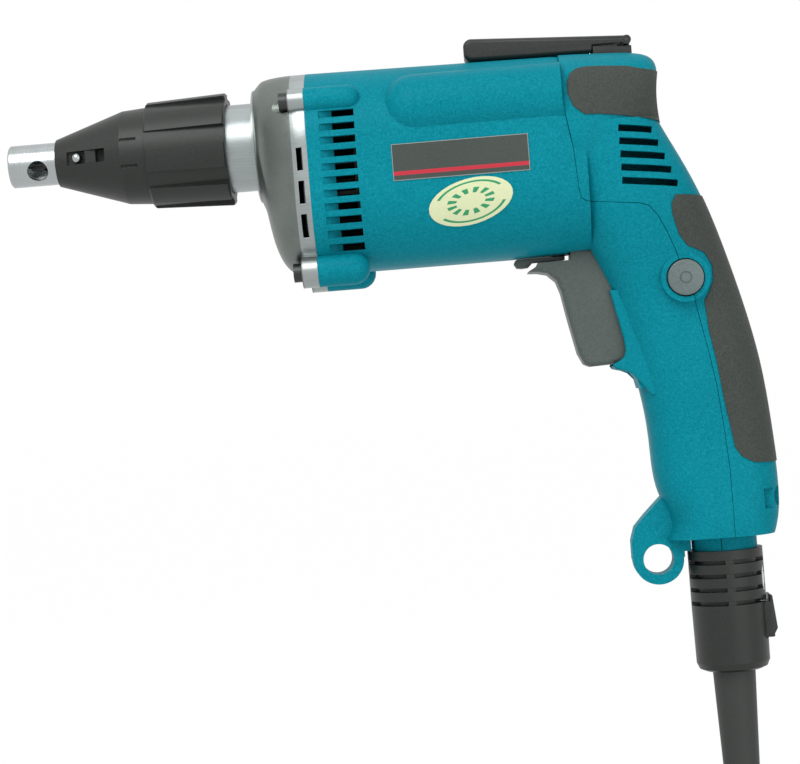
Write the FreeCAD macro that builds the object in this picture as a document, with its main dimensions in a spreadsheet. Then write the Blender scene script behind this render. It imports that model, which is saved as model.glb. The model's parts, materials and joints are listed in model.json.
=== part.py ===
import FreeCAD, Part
import math
import os

import Sketcher

# Corded drywall screwdriver. All lengths are millimetres.
# The spindle runs along X with the nose towards -X, the handle hangs down -Z, and Y is the width.
# Places below are measured from the joint between gear case and motor housing, on the spindle axis.
# The finished model is moved so that its origin lies in the middle of the handle grip.

SIZES = {
    # Origin in the grip, measured from the case joint
    "grip_reach": 134.0,
    "grip_drop": 85.0,
    # Shared clearances
    "seat_gap": 0.1,
    "run_gap": 0.05,
    "free_gap": 0.4,
    "seam_gap": 0.15,
    "overrun": 6.0,
    # Motor housing barrel
    "barrel_half_width": 34.0,
    "barrel_top": 24.8,
    "barrel_top_fall": 1.35,
    "barrel_drop": 50.2,
    "barrel_corner": 28.0,
    "barrel_wall": 2.8,
    "barrel_length": 101.0,
    "barrel_blend": 10.0,
    "barrel_blend_side": 1.0,
    "barrel_blend_top": 0.5,
    "bulge_radius": 12.0,
    "bulge_side": 25.2,
    "bulge_rise": 7.0,
    "bulge_start": 28.0,
    "vent_start": 5.0,
    "vent_length": 12.9,
    "vent_height": 2.6,
    "vent_top": 6.3,
    "vent_pitch": 4.84,
    # Screws that hold the gear case on the barrel
    "top_screw_side": 29.2,
    "top_screw_rise": 12.3,
    "low_screw_side": 21.0,
    "low_screw_drop": 49.9,
    "top_boss_radius": 4.5,
    "top_boss_length": 20.3,
    "low_lug_radius": 5.9,
    "low_lug_length": 19.0,
    "case_screw_radius": 2.0,
    "case_screw_head_radius": 3.5,
    "case_screw_head": 3.2,
    "case_screw_grip": 6.0,
    "case_screw_depth": 16.0,
    "case_screw_slot": 1.0,
    # Rear knob and handle
    "knob_start": 93.5,
    "knob_end": 130.1,
    "hand_hollow_depth": 1.9,
    "hand_hollow_radius": 45.4,
    "hand_hollow_rise": 2.5,
    "handle_top_drop": 4.0,
    "handle_end_drop": 159.5,
    "handle_front": 92.0,
    "handle_back": 163.4,
    "handle_root_half": 33.0,
    "handle_wall": 2.8,
    "pad_depth": 1.6,
    "pad_proud": 0.45,
    "parting_top": 94.0,
    "parting_rise": 25.5,
    "parting_reach": 51.0,
    "parting_drop": 183.0,
    "lip_front": 106.2,
    "lip_long": 14.0,
    "lip_tall": 9.0,
    "lip_half": 12.5,
    "toe_half": 5.6,
    "toe_tall": 23.0,
    "toe_long": 24.0,
    "loop_reach": 117.4,
    "loop_drop": 166.7,
    "loop_radius": 9.4,
    "lanyard_hole_radius": 5.75,
    "cover_rib": 1.6,
    "cover_rib_start": 104.0,
    "cover_rib_drop": 42.0,
    "rear_vent_start": 112.9,
    "rear_vent_top": 6.2,
    "rear_vent_pitch": 4.75,
    "rear_vent_height": 2.5,
    "rear_vent_length": 12.2,
    "rear_vent_gain": 2.0,
    "rear_vent_droop": 7.0,
    "back_notch_height": 7.4,
    "back_notch_long": 5.0,
    "back_notch_depth": 0.8,
    "back_notch_drop": 142.6,
    "back_notch_reach": 157.0,
    "cover_screw_radius": 1.9,
    "cover_screw_head_radius": 3.4,
    "cover_screw_head": 2.6,
    "cover_screw_length": 14.0,
    "cover_post_wall": 3.2,
    # Label plate and dial sticker on the left side
    "label_start": 30.6,
    "label_length": 49.6,
    "label_top_drop": 6.9,
    "label_height": 13.3,
    "label_thick": 0.4,
    "sticker_reach": 57.9,
    "sticker_drop": 29.6,
    "sticker_half_long": 15.7,
    "sticker_half_tall": 8.1,
    "sticker_tilt": 12.0,
    "sticker_thick": 0.25,
    # Gear case
    "case_length": 20.0,
    "case_nose_radius": 21.2,
    "case_collar": 2.0,
    "neck_radius": 16.5,
    "neck_length": 15.0,
    "spigot_radius": 12.2,
    "spigot_length": 25.0,
    "case_pocket": 2.6,
    "case_vent_wide": 2.2,
    "case_vent_back": 1.9,
    "case_vent_deep": 10.0,
    "case_vent_tall": 8.3,
    "case_vent_top": 5.2,
    "case_vent_pitch": 12.1,
    "gear_room_radius": 15.6,
    "pinion_room_gap": 1.0,
    "pinion_room_radius": 8.6,
    "seal_width": 3.0,
    "bush_wall": 3.0,
    # Bearing plate between the gears and the fan
    "plate_depth": 7.4,
    "gear_bush_wall": 1.5,
    # Gears: the pinion on the motor shaft turns the large gear on the spindle
    "gear_module": 0.75,
    "pinion_teeth": 8,
    "gear_teeth": 36,
    "gear_face": 6.0,
    "gear_back": 4.5,
    "gear_hub_radius": 5.5,
    "gear_hub_length": 7.0,
    "tooth_backlash": 0.3,
    # Spindle, bit holder and bit
    "spindle_radius": 5.5,
    "spindle_tail_radius": 3.4,
    "spindle_front": 62.0,
    "spindle_tail": 0.5,
    "clutch_flange_radius": 9.5,
    "clutch_flange_width": 2.5,
    "clutch_gap": 4.5,
    "clutch_wire": 0.9,
    "clutch_spring_radius": 7.2,
    "holder_radius": 5.5,
    "holder_front": 99.0,
    "holder_shank_length": 10.0,
    "bit_across_flats": 6.35,
    "bit_front": 109.0,
    "bit_length": 25.0,
    "bit_shank_length": 16.0,
    "bit_neck_radius": 2.4,
    "bit_point_radius": 1.0,
    "bit_wing_width": 1.1,
    "bit_wing_length": 6.5,
    "magnet_length": 4.0,
    # Nose locator and depth sleeve
    "locator_radius": 8.0,
    "locator_bore_radius": 6.0,
    "locator_front": 115.2,
    "locator_back": 48.0,
    "locator_chamfer": 0.6,
    "locator_hole_radius": 3.95,
    "locator_hole_reach": 104.0,
    "locator_hole_tilt": 24.0,
    "sleeve_front": 97.0,
    "sleeve_tip_radius": 8.95,
    "sleeve_cone_end": 71.0,
    "sleeve_cone_radius": 17.6,
    "sleeve_grip_start": 61.5,
    "sleeve_grip_radius": 18.3,
    "sleeve_back": 31.2,
    "sleeve_base_radius": 19.3,
    "sleeve_pad_front_radius": 20.0,
    "sleeve_pad_back_radius": 21.2,
    "sleeve_pad_angle": 25.0,
    "sleeve_pad_count": 8,
    "sleeve_pad_turn": 11.0,
    "sleeve_skirt": 4.2,
    "sleeve_window_start": 92.0,
    "sleeve_window_length": 15.0,
    "sleeve_window_height": 4.9,
    "sleeve_window_rise": 0.3,
    "sleeve_mark_reach": 70.8,
    "sleeve_mark_length": 6.2,
    "sleeve_mark_height": 1.0,
    "sleeve_mark_rise": 5.0,
    "sleeve_mark_depth": 1.4,
    "detent_ball_radius": 1.9,
    "detent_ball_reach": 88.2,
    "detent_block_length": 4.0,
    "detent_block_back": 3.8,
    "snap_ring_reach": 57.0,
    "snap_ring_width": 1.4,
    "snap_ring_depth": 1.0,
    "snap_ring_height": 0.9,
    # Motor
    "motor_shaft_radius": 3.0,
    "front_bearing_radius": 7.5,
    "front_bearing_width": 5.0,
    "rear_bearing_radius": 9.5,
    "rear_bearing_width": 6.0,
    "bearing_ring_wall": 1.4,
    "rear_bearing_start": 86.5,
    "fan_start": 8.0,
    "fan_length": 10.0,
    "fan_radius": 27.0,
    "fan_disc": 1.6,
    "fan_hub_radius": 8.0,
    "fan_blade": 1.4,
    "fan_blades": 14,
    "baffle_start": 19.4,
    "baffle_length": 2.0,
    "baffle_bore_radius": 20.0,
    "stator_start": 28.5,
    "stator_length": 36.0,
    "stator_bore_radius": 18.2,
    "stator_gap": 0.3,
    "coil_end_length": 6.0,
    "coil_wall": 7.5,
    "coil_inset": 1.6,
    "rotor_radius": 17.6,
    "rotor_slots": 12,
    "rotor_slot_width": 2.4,
    "rotor_slot_depth": 6.0,
    "winding_end_length": 5.4,
    "winding_radius": 15.4,
    "winding_slot_gap": 0.1,
    "commutator_start": 72.0,
    "commutator_length": 12.0,
    "commutator_radius": 11.0,
    "bracket_start": 85.5,
    "bracket_depth": 8.0,
    "brush_width": 6.5,
    "brush_height": 9.0,
    "brush_length": 12.0,
    "brush_box_wall": 1.2,
    "brush_box_length": 18.0,
    "brush_box_gap": 1.2,
    "brush_spring_radius": 2.4,
    # Switch, trigger, reversing lever and lock button
    "switch_front": 121.0,
    "switch_depth": 21.0,
    "switch_top_drop": 56.0,
    "switch_height": 34.0,
    "switch_half_width": 9.5,
    "switch_rib": 3.0,
    "trigger_front": 76.9,
    "trigger_depth": 36.1,
    "trigger_top_drop": 49.6,
    "trigger_height": 43.3,
    "trigger_half_width": 11.0,
    "trigger_edge_round": 2.0,
    "trigger_travel": 6.0,
    "plunger_radius": 2.2,
    "plunger_depth": 4.0,
    "plunger_drop": 68.0,
    "trigger_spring_drop": 80.0,
    "trigger_spring_radius": 2.6,
    "lever_front": 72.0,
    "lever_length": 19.0,
    "lever_drop": 50.65,
    "lever_height": 3.4,
    "lever_half_width": 3.6,
    "lever_pivot_reach": 89.0,
    "lever_pivot_radius": 2.4,
    "lever_pivot_tall": 7.0,
    "lever_collar_radius": 4.4,
    "lever_collar_tall": 1.6,
    "lock_reach": 133.8,
    "lock_drop": 63.0,
    "lock_radius": 6.6,
    "lock_ring_wall": 2.0,
    "lock_ring_out": 24.6,
    "lock_ring_in": 16.0,
    "lock_proud": 1.5,
    "lock_spring_radius": 3.0,
    "lock_flange": 1.3,
    "lock_flange_thick": 1.6,
    "capacitor_radius": 6.5,
    "capacitor_length": 20.0,
    "spring_turns": 4,
    # Belt hook on top
    "hook_front": 59.4,
    "hook_pivot_reach": 120.2,
    "hook_pivot_rise": 27.6,
    "hook_knuckle_radius": 1.7,
    "hook_front_top": 32.9,
    "hook_lift_gap": 0.4,
    "hook_half_width": 9.4,
    "hook_wall": 2.0,
    "hook_tongue_half": 4.0,
    "hook_pin_radius": 0.8,
    "hook_base_start": 107.4,
    "hook_base_top": 26.3,
    "hook_base_foot": 21.4,
    "hook_edge_round": 1.6,
    "hook_end_round": 3.0,
    # Cord connector under the handle
    "cord_reach": 142.6,
    "collar_radius": 12.2,
    "collar_height": 5.2,
    "boot_radius": 14.0,
    "boot_groove_radius": 11.6,
    "boot_height": 20.4,
    "boot_rings": 4,
    "boot_ring_height": 3.5,
    "boot_web": 3.0,
    "connector_top_radius": 14.0,
    "connector_low_radius": 13.7,
    "connector_height": 25.0,
    "connector_round": 3.2,
    "latch_start": 155.6,
    "latch_end": 159.5,
    "latch_lip_start": 157.3,
    "latch_lip_rise": 2.2,
    "latch_foot_end": 158.3,
    "latch_top_drop": 184.0,
    "latch_height": 14.6,
    "latch_half_width": 6.0,
    "latch_ear": 3.2,
    "latch_pin_radius": 1.2,
    "guard_top_radius": 8.0,
    "guard_low_radius": 6.6,
    "guard_length": 43.0,
    "guard_lip": 1.0,
    # Mains lead: straight down, one tied coil, short tail and a flat two-pin plug
    "cord_diameter": 7.8,
    "lead_length": 52.0,
    "coil_radius": 46.0,
    "coil_pitch": 9.3,
    "tail_length": 30.0,
    "tie_width": 9.0,
    "tie_thick": 1.2,
    "tie_gap": 0.8,
    "plug_length": 40.0,
    "plug_half_wide": 17.6,
    "plug_half_thick": 6.9,
    "plug_neck_radius": 6.0,
    "plug_corner": 5.0,
    "pin_radius": 2.4,
    "pin_length": 19.0,
    "pin_spacing": 19.0,
}

# Rounded sections of the gear case along X: place, half width, top, bottom, corner,
# as shares of case length, barrel half width, barrel top, barrel drop and barrel corner.
CASE_SHARES = (
    (-1.0, 0.603, 0.87, 0.45, 0.725),
    (-0.86, 0.68, 0.965, 0.69, 0.76),
    (-0.68, 0.78, 0.99, 0.905, 0.82),
    (-0.5, 0.88, 1.0, 0.98, 0.91),
    (-0.2, 0.985, 1.0, 1.0, 0.99),
    (0.0, 1.0, 1.0, 1.0, 1.0),
)

# Rounded sections of the rear knob along X: place between start and end, then half width,
# top, bottom and corner as shares of the barrel sizes.
KNOB_SHARES = (
    (0.0, 0.995, 0.945, 0.6, 0.86),
    (0.37, 0.975, 0.928, 0.6, 0.84),
    (0.64, 0.90, 0.91, 0.52, 0.76),
    (0.84, 0.78, 0.868, 0.40, 0.59),
    (0.945, 0.64, 0.80, 0.28, 0.42),
    (1.0, 0.46, 0.66, 0.14, 0.25),
)

# Level sections of the handle: depth between top and end, front and back between the
# handle's front and back limits, half width and corner as shares of the root half width.
HANDLE_SHARES = (
    (0.0, 0.0, 0.506, 1.0, 0.38),
    (0.0514, 0.01, 0.561, 1.0, 0.40),
    (0.1672, 0.042, 0.686, 0.955, 0.45),
    (0.2958, 0.123, 0.794, 0.79, 0.50),
    (0.3923, 0.203, 0.859, 0.675, 0.50),
    (0.4887, 0.252, 0.913, 0.60, 0.47),
    (0.5916, 0.308, 0.957, 0.56, 0.45),
    (0.7588, 0.3585, 0.994, 0.535, 0.43),
    (0.9068, 0.401, 1.006, 0.56, 0.44),
    (1.0, 0.408, 0.968, 0.545, 0.38),
)

# Side outline of the joint between motor housing and rear cover, from the top down.
PARTING_SHARES = (
    (0.0, 0.0),
    (-0.006, 0.063),
    (-0.008, 0.121),
    (0.02, 0.170),
    (0.045, 0.214),
    (0.061, 0.293),
    (0.075, 0.312),
    (0.11, 0.3185),
    (0.345, 0.327),
    (0.486, 0.331),
    (0.549, 0.337),
    (0.608, 0.357),
    (0.665, 0.389),
    (0.72, 0.427),
    (0.778, 0.480),
    (0.831, 0.522),
    (0.906, 0.626),
    (0.953, 0.704),
    (0.982, 0.789),
    (1.0, 0.874),
    (1.0, 0.943),
    (1.0, 1.0),
)

# Outline of the rubber pad round the knob, from its lower front corner, as shares of the
# knob length behind the knob start and of the barrel top above the spindle axis.
UPPER_PAD_SHARES = (
    (0.2115, -0.0685),
    (0.107, 0.0605),
    (0.0604, 0.262),
    (0.066, 0.4355),
    (0.1016, 0.5605),
    (0.1676, 0.637),
    (0.2555, 0.661),
    (0.453, 0.653),
    (0.673, 0.629),
    (0.824, 0.577),
    (1.2, 0.53),
    (1.2, -0.24),
    (0.92, -0.21),
    (0.588, -0.117),
    (0.343, -0.075),
)

# Outline of the rubber pad down the back of the handle, as shares of the handle reach
# behind its front limit and of the handle length below its top.
HANDLE_PAD_SHARES = (
    (0.5364, 0.207),
    (0.5602, 0.1865),
    (0.6877, 0.189),
    (1.15, 0.20),
    (1.15, 0.8296),
    (0.969, 0.8296),
    (0.874, 0.8264),
    (0.811, 0.8103),
    (0.779, 0.788),
    (0.766, 0.745),
    (0.742, 0.674),
    (0.717, 0.579),
    (0.689, 0.507),
    (0.6765, 0.436),
    (0.703, 0.418),
    (0.7297, 0.391),
    (0.7297, 0.3556),
    (0.6905, 0.3235),
    (0.6317, 0.3106),
    (0.6064, 0.3061),
    (0.5658, 0.2785),
    (0.5378, 0.2309),
)

# Side outline of the trigger from its beak, as shares of trigger depth and height.
TRIGGER_SHARES = (
    (0.0, 0.145),
    (0.102, 0.15),
    (0.20, 0.17),
    (0.285, 0.236),
    (0.328, 0.34),
    (0.38, 0.58),
    (0.455, 0.88),
    (0.51, 0.975),
    (0.571, 1.0),
    (0.80, 0.993),
    (1.0, 0.945),
    (1.045, 0.925),
    (1.045, 0.82),
    (1.0, 0.8),
    (1.0, 0.0),
    (0.452, 0.0),
    (0.446, 0.07),
    (0.108, 0.073),
    (0.082, 0.108),
)

# Side outline of the reversing lever, as shares of its length and height from its tip.
LEVER_SHARES = (
    (0.03, 0.12),
    (0.0, 0.45),
    (0.05, 0.92),
    (0.16, 1.0),
    (0.28, 0.92),
    (0.37, 0.45),
    (1.0, 0.38),
    (1.0, 0.0),
    (0.08, 0.0),
)

# Side outline of the toe under the handle's front, as shares of the toe's length and height.
TOE_SHARES = (
    (0.5, 0.0),
    (0.22, 0.28),
    (0.06, 0.46),
    (-0.008, 0.68),
    (-0.01, 0.99),
    (0.8, 0.99),
    (0.8, 0.895),
    (0.905, 0.895),
    (0.905, 0.68),
    (1.1, 0.2),
)

# Side outline of the lip under the trigger, as shares of the lip's length and height.
LIP_SHARES = (
    (0.0, 0.0),
    (0.015, 0.12),
    (0.14, 0.18),
    (0.45, 0.28),
    (0.56, 0.52),
    (0.63, 1.0),
    (1.0, 1.0),
    (1.0, 0.0),
)


class Size:
    """A number together with the sheet expression that gives it."""

    def __init__(self, value, text):
        self.value = float(value)
        self.text = text

    def __add__(self, other):
        other = as_size(other)
        return Size(self.value + other.value, f"({self.text} + {other.text})")

    def __sub__(self, other):
        other = as_size(other)
        return Size(self.value - other.value, f"({self.text} - {other.text})")

    def __mul__(self, other):
        other = as_size(other)
        return Size(self.value * other.value, f"({self.text} * {other.text})")

    def __truediv__(self, other):
        other = as_size(other)
        return Size(self.value / other.value, f"({self.text} / {other.text})")

    def __radd__(self, other):
        return as_size(other) + self

    def __rsub__(self, other):
        return as_size(other) - self

    def __rmul__(self, other):
        return as_size(other) * self

    def __neg__(self):
        return Size(-self.value, f"(0 - {self.text})")


def as_size(item):
    """Wrap a plain number so that it can stand in a sum of sizes."""
    if isinstance(item, Size):
        return item
    return Size(item, f"({float(item):.9g})")


class Sheet:
    """The driving sizes: one sheet cell with an alias for each named value."""

    def __init__(self, document, table):
        self.names = dict(table)
        self.cells = document.addObject("Spreadsheet::Sheet", "sizes")
        for row, (name, value) in enumerate(table.items(), 1):
            self.cells.set(f"A{row}", name)
            self.cells.set(f"B{row}", str(value))
            self.cells.setAlias(f"B{row}", name)

    def __getattr__(self, name):
        return Size(self.names[name], f"sizes.{name}")


doc = FreeCAD.newDocument("drywall_screwdriver")
dim = Sheet(doc, SIZES)
doc.recompute()

ZERO = Size(0, "0")
HALF = 0.5
NODES = {}
TURN_X = FreeCAD.Rotation(FreeCAD.Vector(0, 1, 0), 90)
TURN_Y = FreeCAD.Rotation(FreeCAD.Vector(1, 0, 0), -90)
TURN_Z = FreeCAD.Rotation()


def settle(item, x=ZERO, y=ZERO, z=ZERO, turn=None):
    """Place an object at a point given from the case joint, as seen from the grip origin."""
    x = as_size(x) - dim.grip_reach
    y = as_size(y)
    z = as_size(z) + dim.grip_drop
    spot = FreeCAD.Vector(x.value, y.value, z.value)
    item.Placement = FreeCAD.Placement(spot, turn or FreeCAD.Rotation())
    for letter, size in (("x", x), ("y", y), ("z", z)):
        item.setExpression(f"Placement.Base.{letter}", size.text)
    return item


def bind(item, **sizes):
    """Set properties of an object and bind each one to the sheet."""
    for name, size in sizes.items():
        size = as_size(size)
        setattr(item, name, size.value)
        item.setExpression(name, size.text)
    return item


def repeat(pattern, count):
    """Set how many copies a pattern makes, all the way round."""
    pattern.Angle = 360
    pattern.Occurrences = round(count.value)
    pattern.setExpression("Occurrences", count.text)


def node(name, item):
    """Name an object as a finished sub-part."""
    item.Label = name
    NODES[name] = item
    return item


def new_body(name):
    return doc.addObject("PartDesign::Body", name)


def add_sketch(body, name, role, offset=ZERO):
    """Start a sketch on one of the body's own planes, moved along the plane's normal."""
    sketch = body.newObject("Sketcher::SketchObject", name)
    plane = [item for item in body.Origin.OriginFeatures if item.Role == role][0]
    sketch.AttachmentSupport = (plane, [""])
    sketch.MapMode = "FlatFace"
    offset = as_size(offset)
    sketch.AttachmentOffset = FreeCAD.Placement(
        FreeCAD.Vector(0, 0, offset.value), FreeCAD.Rotation())
    sketch.setExpression("AttachmentOffset.Base.z", offset.text)
    return sketch


def pin(sketch, geometry, end, point):
    """Hold one end of a sketch line at a point given in sizes."""
    for kind, axis, size in (("DistanceX", -2, point[0]), ("DistanceY", -1, point[1])):
        if size.text == ZERO.text:
            sketch.addConstraint(Sketcher.Constraint("PointOnObject", geometry, end, axis))
            continue
        index = sketch.addConstraint(
            Sketcher.Constraint(kind, -1, 1, geometry, end, size.value))
        sketch.setExpression(f"Constraints[{index}]", size.text)


def outline(sketch, points):
    """Draw a closed outline of straight lines through points given in sizes."""
    points = [(as_size(a), as_size(b)) for a, b in points]
    count = len(points)
    spots = [FreeCAD.Vector(a.value, b.value, 0) for a, b in points]
    for i in range(count):
        sketch.addGeometry(Part.LineSegment(spots[i], spots[(i + 1) % count]), False)
    for i in range(count):
        sketch.addConstraint(Sketcher.Constraint("Coincident", i, 2, (i + 1) % count, 1))
    for i in range(count):
        pin(sketch, i, 1, points[i])


def rounded(sketch, low_a, high_a, low_b, high_b, corner):
    """Draw a rectangle with equal round corners between sizes along both sketch axes."""
    in_a, out_a = low_a + corner, high_a - corner
    in_b, out_b = low_b + corner, high_b - corner
    sides = (
        ((in_a, low_b), (out_a, low_b)),
        ((high_a, in_b), (high_a, out_b)),
        ((out_a, high_b), (in_a, high_b)),
        ((low_a, out_b), (low_a, in_b)),
    )
    centres = ((out_a, in_b), (out_a, out_b), (in_a, out_b), (in_a, in_b))
    up = FreeCAD.Vector(0, 0, 1)
    for i, (start, end) in enumerate(sides):
        a = FreeCAD.Vector(start[0].value, start[1].value, 0)
        b = FreeCAD.Vector(end[0].value, end[1].value, 0)
        sketch.addGeometry(Part.LineSegment(a, b), False)
        middle = FreeCAD.Vector(centres[i][0].value, centres[i][1].value, 0)
        circle = Part.Circle(middle, up, corner.value)
        first = (i - 1) * math.pi / 2
        sketch.addGeometry(Part.ArcOfCircle(circle, first, first + math.pi / 2), False)
    for i, (start, end) in enumerate(sides):
        line, arc = 2 * i, 2 * i + 1
        sketch.addConstraint(Sketcher.Constraint("Coincident", line, 2, arc, 1))
        sketch.addConstraint(Sketcher.Constraint("Coincident", arc, 2, (line + 2) % 8, 1))
        pin(sketch, line, 1, start)
        pin(sketch, line, 2, end)
        index = sketch.addConstraint(Sketcher.Constraint("Radius", arc, corner.value))
        sketch.setExpression(f"Constraints[{index}]", corner.text)


def loft(name, role, sections, straight=False):
    """Skin a body through rounded rectangles: offset, two limits on each axis, corner."""
    body = new_body(name)
    sketches = []
    for i, (offset, *limits) in enumerate(sections):
        sketch = add_sketch(body, f"{name}_section_{i}", role, offset)
        rounded(sketch, *[as_size(limit) for limit in limits])
        sketches.append(sketch)
    skin = body.newObject("PartDesign::AdditiveLoft", f"{name}_loft")
    skin.Profile = sketches[0]
    skin.Sections = sketches[1:]
    skin.Ruled = straight
    return settle(body)


def turned(name, profile, x=ZERO, y=ZERO, z=ZERO, upright=False, turn=None):
    """Turn a profile about the X axis, or about a vertical axis when upright."""
    body = new_body(name)
    sketch = add_sketch(body, f"{name}_profile", "XZ_Plane")
    outline(sketch, profile)
    spin = body.newObject("PartDesign::Revolution", f"{name}_turn")
    spin.Profile = sketch
    spin.ReferenceAxis = (sketch, ["V_Axis" if upright else "H_Axis"])
    return settle(body, x, y, z, turn)


def prism(name, role, points, length, start=ZERO, x=ZERO, y=ZERO, z=ZERO, middle=False, turn=None):
    """Pad an outline along the plane's normal, or evenly to both sides of the plane."""
    body = new_body(name)
    sketch = add_sketch(body, f"{name}_outline", role, start)
    outline(sketch, points)
    pad = body.newObject("PartDesign::Pad", f"{name}_pad")
    pad.Profile = sketch
    if middle:
        pad.SideType = "Symmetric"
    bind(pad, Length=length)
    return settle(body, x, y, z, turn)


def ringed(body, name, points, start, length, count):
    """Pad an outline on a body along X and repeat it evenly round the X axis."""
    sketch = add_sketch(body, f"{name}_outline", "YZ_Plane", start)
    outline(sketch, points)
    pad = body.newObject("PartDesign::Pad", f"{name}_pad")
    pad.Profile = sketch
    bind(pad, Length=length)
    doc.recompute()
    ring = body.newObject("PartDesign::PolarPattern", f"{name}_ring")
    ring.Originals = [pad]
    ring.Axis = (sketch, ["N_Axis"])
    repeat(ring, count)
    body.Tip = ring
    return body


def soften(body, radius, wanted):
    """Round the edges of a body's last feature for which wanted is true."""
    doc.recompute()
    feature = body.Tip
    edges = enumerate(feature.Shape.Edges, 1)
    names = [f"Edge{index}" for index, edge in edges if wanted(edge)]
    rounding = body.newObject("PartDesign::Fillet", f"{body.Name}_round_{len(body.Group)}")
    rounding.Base = (feature, names)
    bind(rounding, Radius=radius)
    body.Tip = rounding
    return body


def box(name, low, high):
    """Box between two opposite corners."""
    item = doc.addObject("Part::Box", name)
    spans = [as_size(b) - as_size(a) for a, b in zip(low, high)]
    bind(item, Length=spans[0], Width=spans[1], Height=spans[2])
    return settle(item, *low)


def rod(name, axis, start, radius, length, turn=None):
    """Cylinder along an axis from a start point."""
    item = doc.addObject("Part::Cylinder", name)
    bind(item, Radius=radius, Height=length)
    return settle(item, *start, turn=turn or {"x": TURN_X, "y": TURN_Y, "z": TURN_Z}[axis])


def ball(name, centre, radius):
    item = doc.addObject("Part::Sphere", name)
    bind(item, Radius=radius)
    return settle(item, *centre)


def fuse(name, *items):
    """Join objects that meet, or keep separate ones together as one group of solids."""
    joined = doc.addObject("Part::MultiFuse", name)
    joined.Shapes = list(items)
    joined.Refine = True
    return joined


def cut(name, base, *tools):
    """Take one or more tools out of a base."""
    result = doc.addObject("Part::Cut", name)
    result.Base = base
    result.Tool = tools[0] if len(tools) == 1 else fuse(f"{name}_tools", *tools)
    result.Refine = True
    return result


def common(name, first, second):
    result = doc.addObject("Part::Common", name)
    result.Base = first
    result.Tool = second
    result.Refine = True
    return result


def coded(name, shape, x=ZERO, y=ZERO, z=ZERO):
    """Sub-part whose shape is worked out here from the sheet's sizes."""
    item = doc.addObject("Part::Feature", name)
    item.Shape = shape
    return settle(item, x, y, z)


def spread(shares, x, z, wide, tall):
    """Points of a side outline from shares: rearwards of x, and downwards from z."""
    return [(x + wide * a, z - tall * b) for a, b in shares]


def hexagon(across):
    """Corners of a hexagon with flats above and below, by its size across flats."""
    corner = across / math.sqrt(3)
    angles = [math.radians(60 * i) for i in range(6)]
    return [(corner * math.cos(a), corner * math.sin(a)) for a in angles]


def oval(x, z, half_long, half_tall, tilt, count=32):
    """Corners of a tilted oval."""
    points = []
    lean, rise = math.cos(math.radians(tilt)), math.sin(math.radians(tilt))
    for i in range(count):
        angle = math.tau * i / count
        a, b = half_long * math.cos(angle), half_tall * math.sin(angle)
        points.append((x + a * lean - b * rise, z + a * rise + b * lean))
    return points


def biarc(start, start_way, end, end_way):
    """Two tangent arcs, as edges, from one point and direction to another."""
    span = end - start
    both = start_way + end_way
    a = 2 * (1 - start_way.dot(end_way))
    b = 2 * span.dot(both)
    c = -span.dot(span)
    if abs(a) < 1e-9:
        reach = -c / b
    else:
        reach = (-b + math.sqrt(b * b - 4 * a * c)) / (2 * a)
    first, second = start + start_way * reach, end - end_way * reach
    joint = (first + second) * 0.5
    edges = []
    for low, knee, high in ((start, first, joint), (joint, second, end)):
        weight = (high - low).Length / (2 * reach)
        crown = (low + high + knee * (2 * weight)) * (1 / (2 * (1 + weight)))
        edges.append(Part.Arc(low, crown, high).toShape())
    return edges


def tube(edges, radius, start, way):
    """Solid tube of one radius along joined edges."""
    ring = Part.Wire([Part.Circle(start, way, radius).toShape()])
    return Part.Wire(edges).makePipeShell([ring], True, False)


def spring_shape(radius, wire, length, turns):
    """Open helical spring along Z from zero, with its wire inside the length."""
    rise = (length - 2 * wire) / turns
    slope = rise / math.tau

    def spot(angle):
        return FreeCAD.Vector(
            radius * math.cos(angle), radius * math.sin(angle), wire + slope * angle)

    def way(angle):
        along = FreeCAD.Vector(-radius * math.sin(angle), radius * math.cos(angle), slope)
        return along.normalize()

    edges = []
    for quarter in range(4 * turns):
        low, high = quarter * math.pi / 2, (quarter + 1) * math.pi / 2
        edges += biarc(spot(low), way(low), spot(high), way(high))
    return tube(edges, wire / 2, spot(0), way(0))


SIDES = (("left", -1), ("right", 1))
motor_drop = (dim.pinion_teeth + dim.gear_teeth) * dim.gear_module * HALF
pitch = dim.gear_module * math.pi * HALF

SLOT_SHARE = 0.7
SHIELD_SHARE = 0.25
TOOTH_TIP_SHARE = 0.7
TOOTH_ROOT_SHARE = 0.8
AIR_HOLE_SHARE = 0.7
AIR_SPREAD_SHARE = 0.62
AIR_SIDE_SHARE = 0.9
BEAK_BACK_SHARE = 0.9
BEAK_TOP_SHARE = 0.14
HOOK_LUG_SHARE = 0.8
HOOK_EYE_SHARE = 0.9
CONNECTOR_EDGE_SHARE = 0.3
LATCH_EAR_SHARE = 0.6
COIL_SEAT_SHARE = 0.25
ADDENDUM_SHARE = 0.6
DEDENDUM_SHARE = 0.85
FLANK_SHARE = 0.364

# Nose locator: steel tube with a cross hole, which sets how deep a screw is driven.
tube_body = turned("locator_tube", (
    (-dim.locator_front, dim.locator_bore_radius + dim.locator_chamfer),
    (-dim.locator_front, dim.locator_radius - dim.locator_chamfer),
    (-dim.locator_front + dim.locator_chamfer, dim.locator_radius),
    (-dim.locator_back, dim.locator_radius),
    (-dim.locator_back, dim.locator_bore_radius),
    (-dim.locator_front + dim.locator_chamfer, dim.locator_bore_radius),
))
hole_tilt = math.radians(SIZES["locator_hole_tilt"])
hole_reach = dim.locator_radius + dim.overrun
cross_hole = rod(
    "locator_hole", "y",
    (-dim.locator_hole_reach, hole_reach * math.cos(hole_tilt), hole_reach * math.sin(hole_tilt)),
    dim.locator_hole_radius, hole_reach * 2,
    turn=FreeCAD.Rotation(FreeCAD.Vector(1, 0, 0), 90 + SIZES["locator_hole_tilt"]))
node("nose_locator", cut("nose_locator", tube_body, cross_hole))

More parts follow.
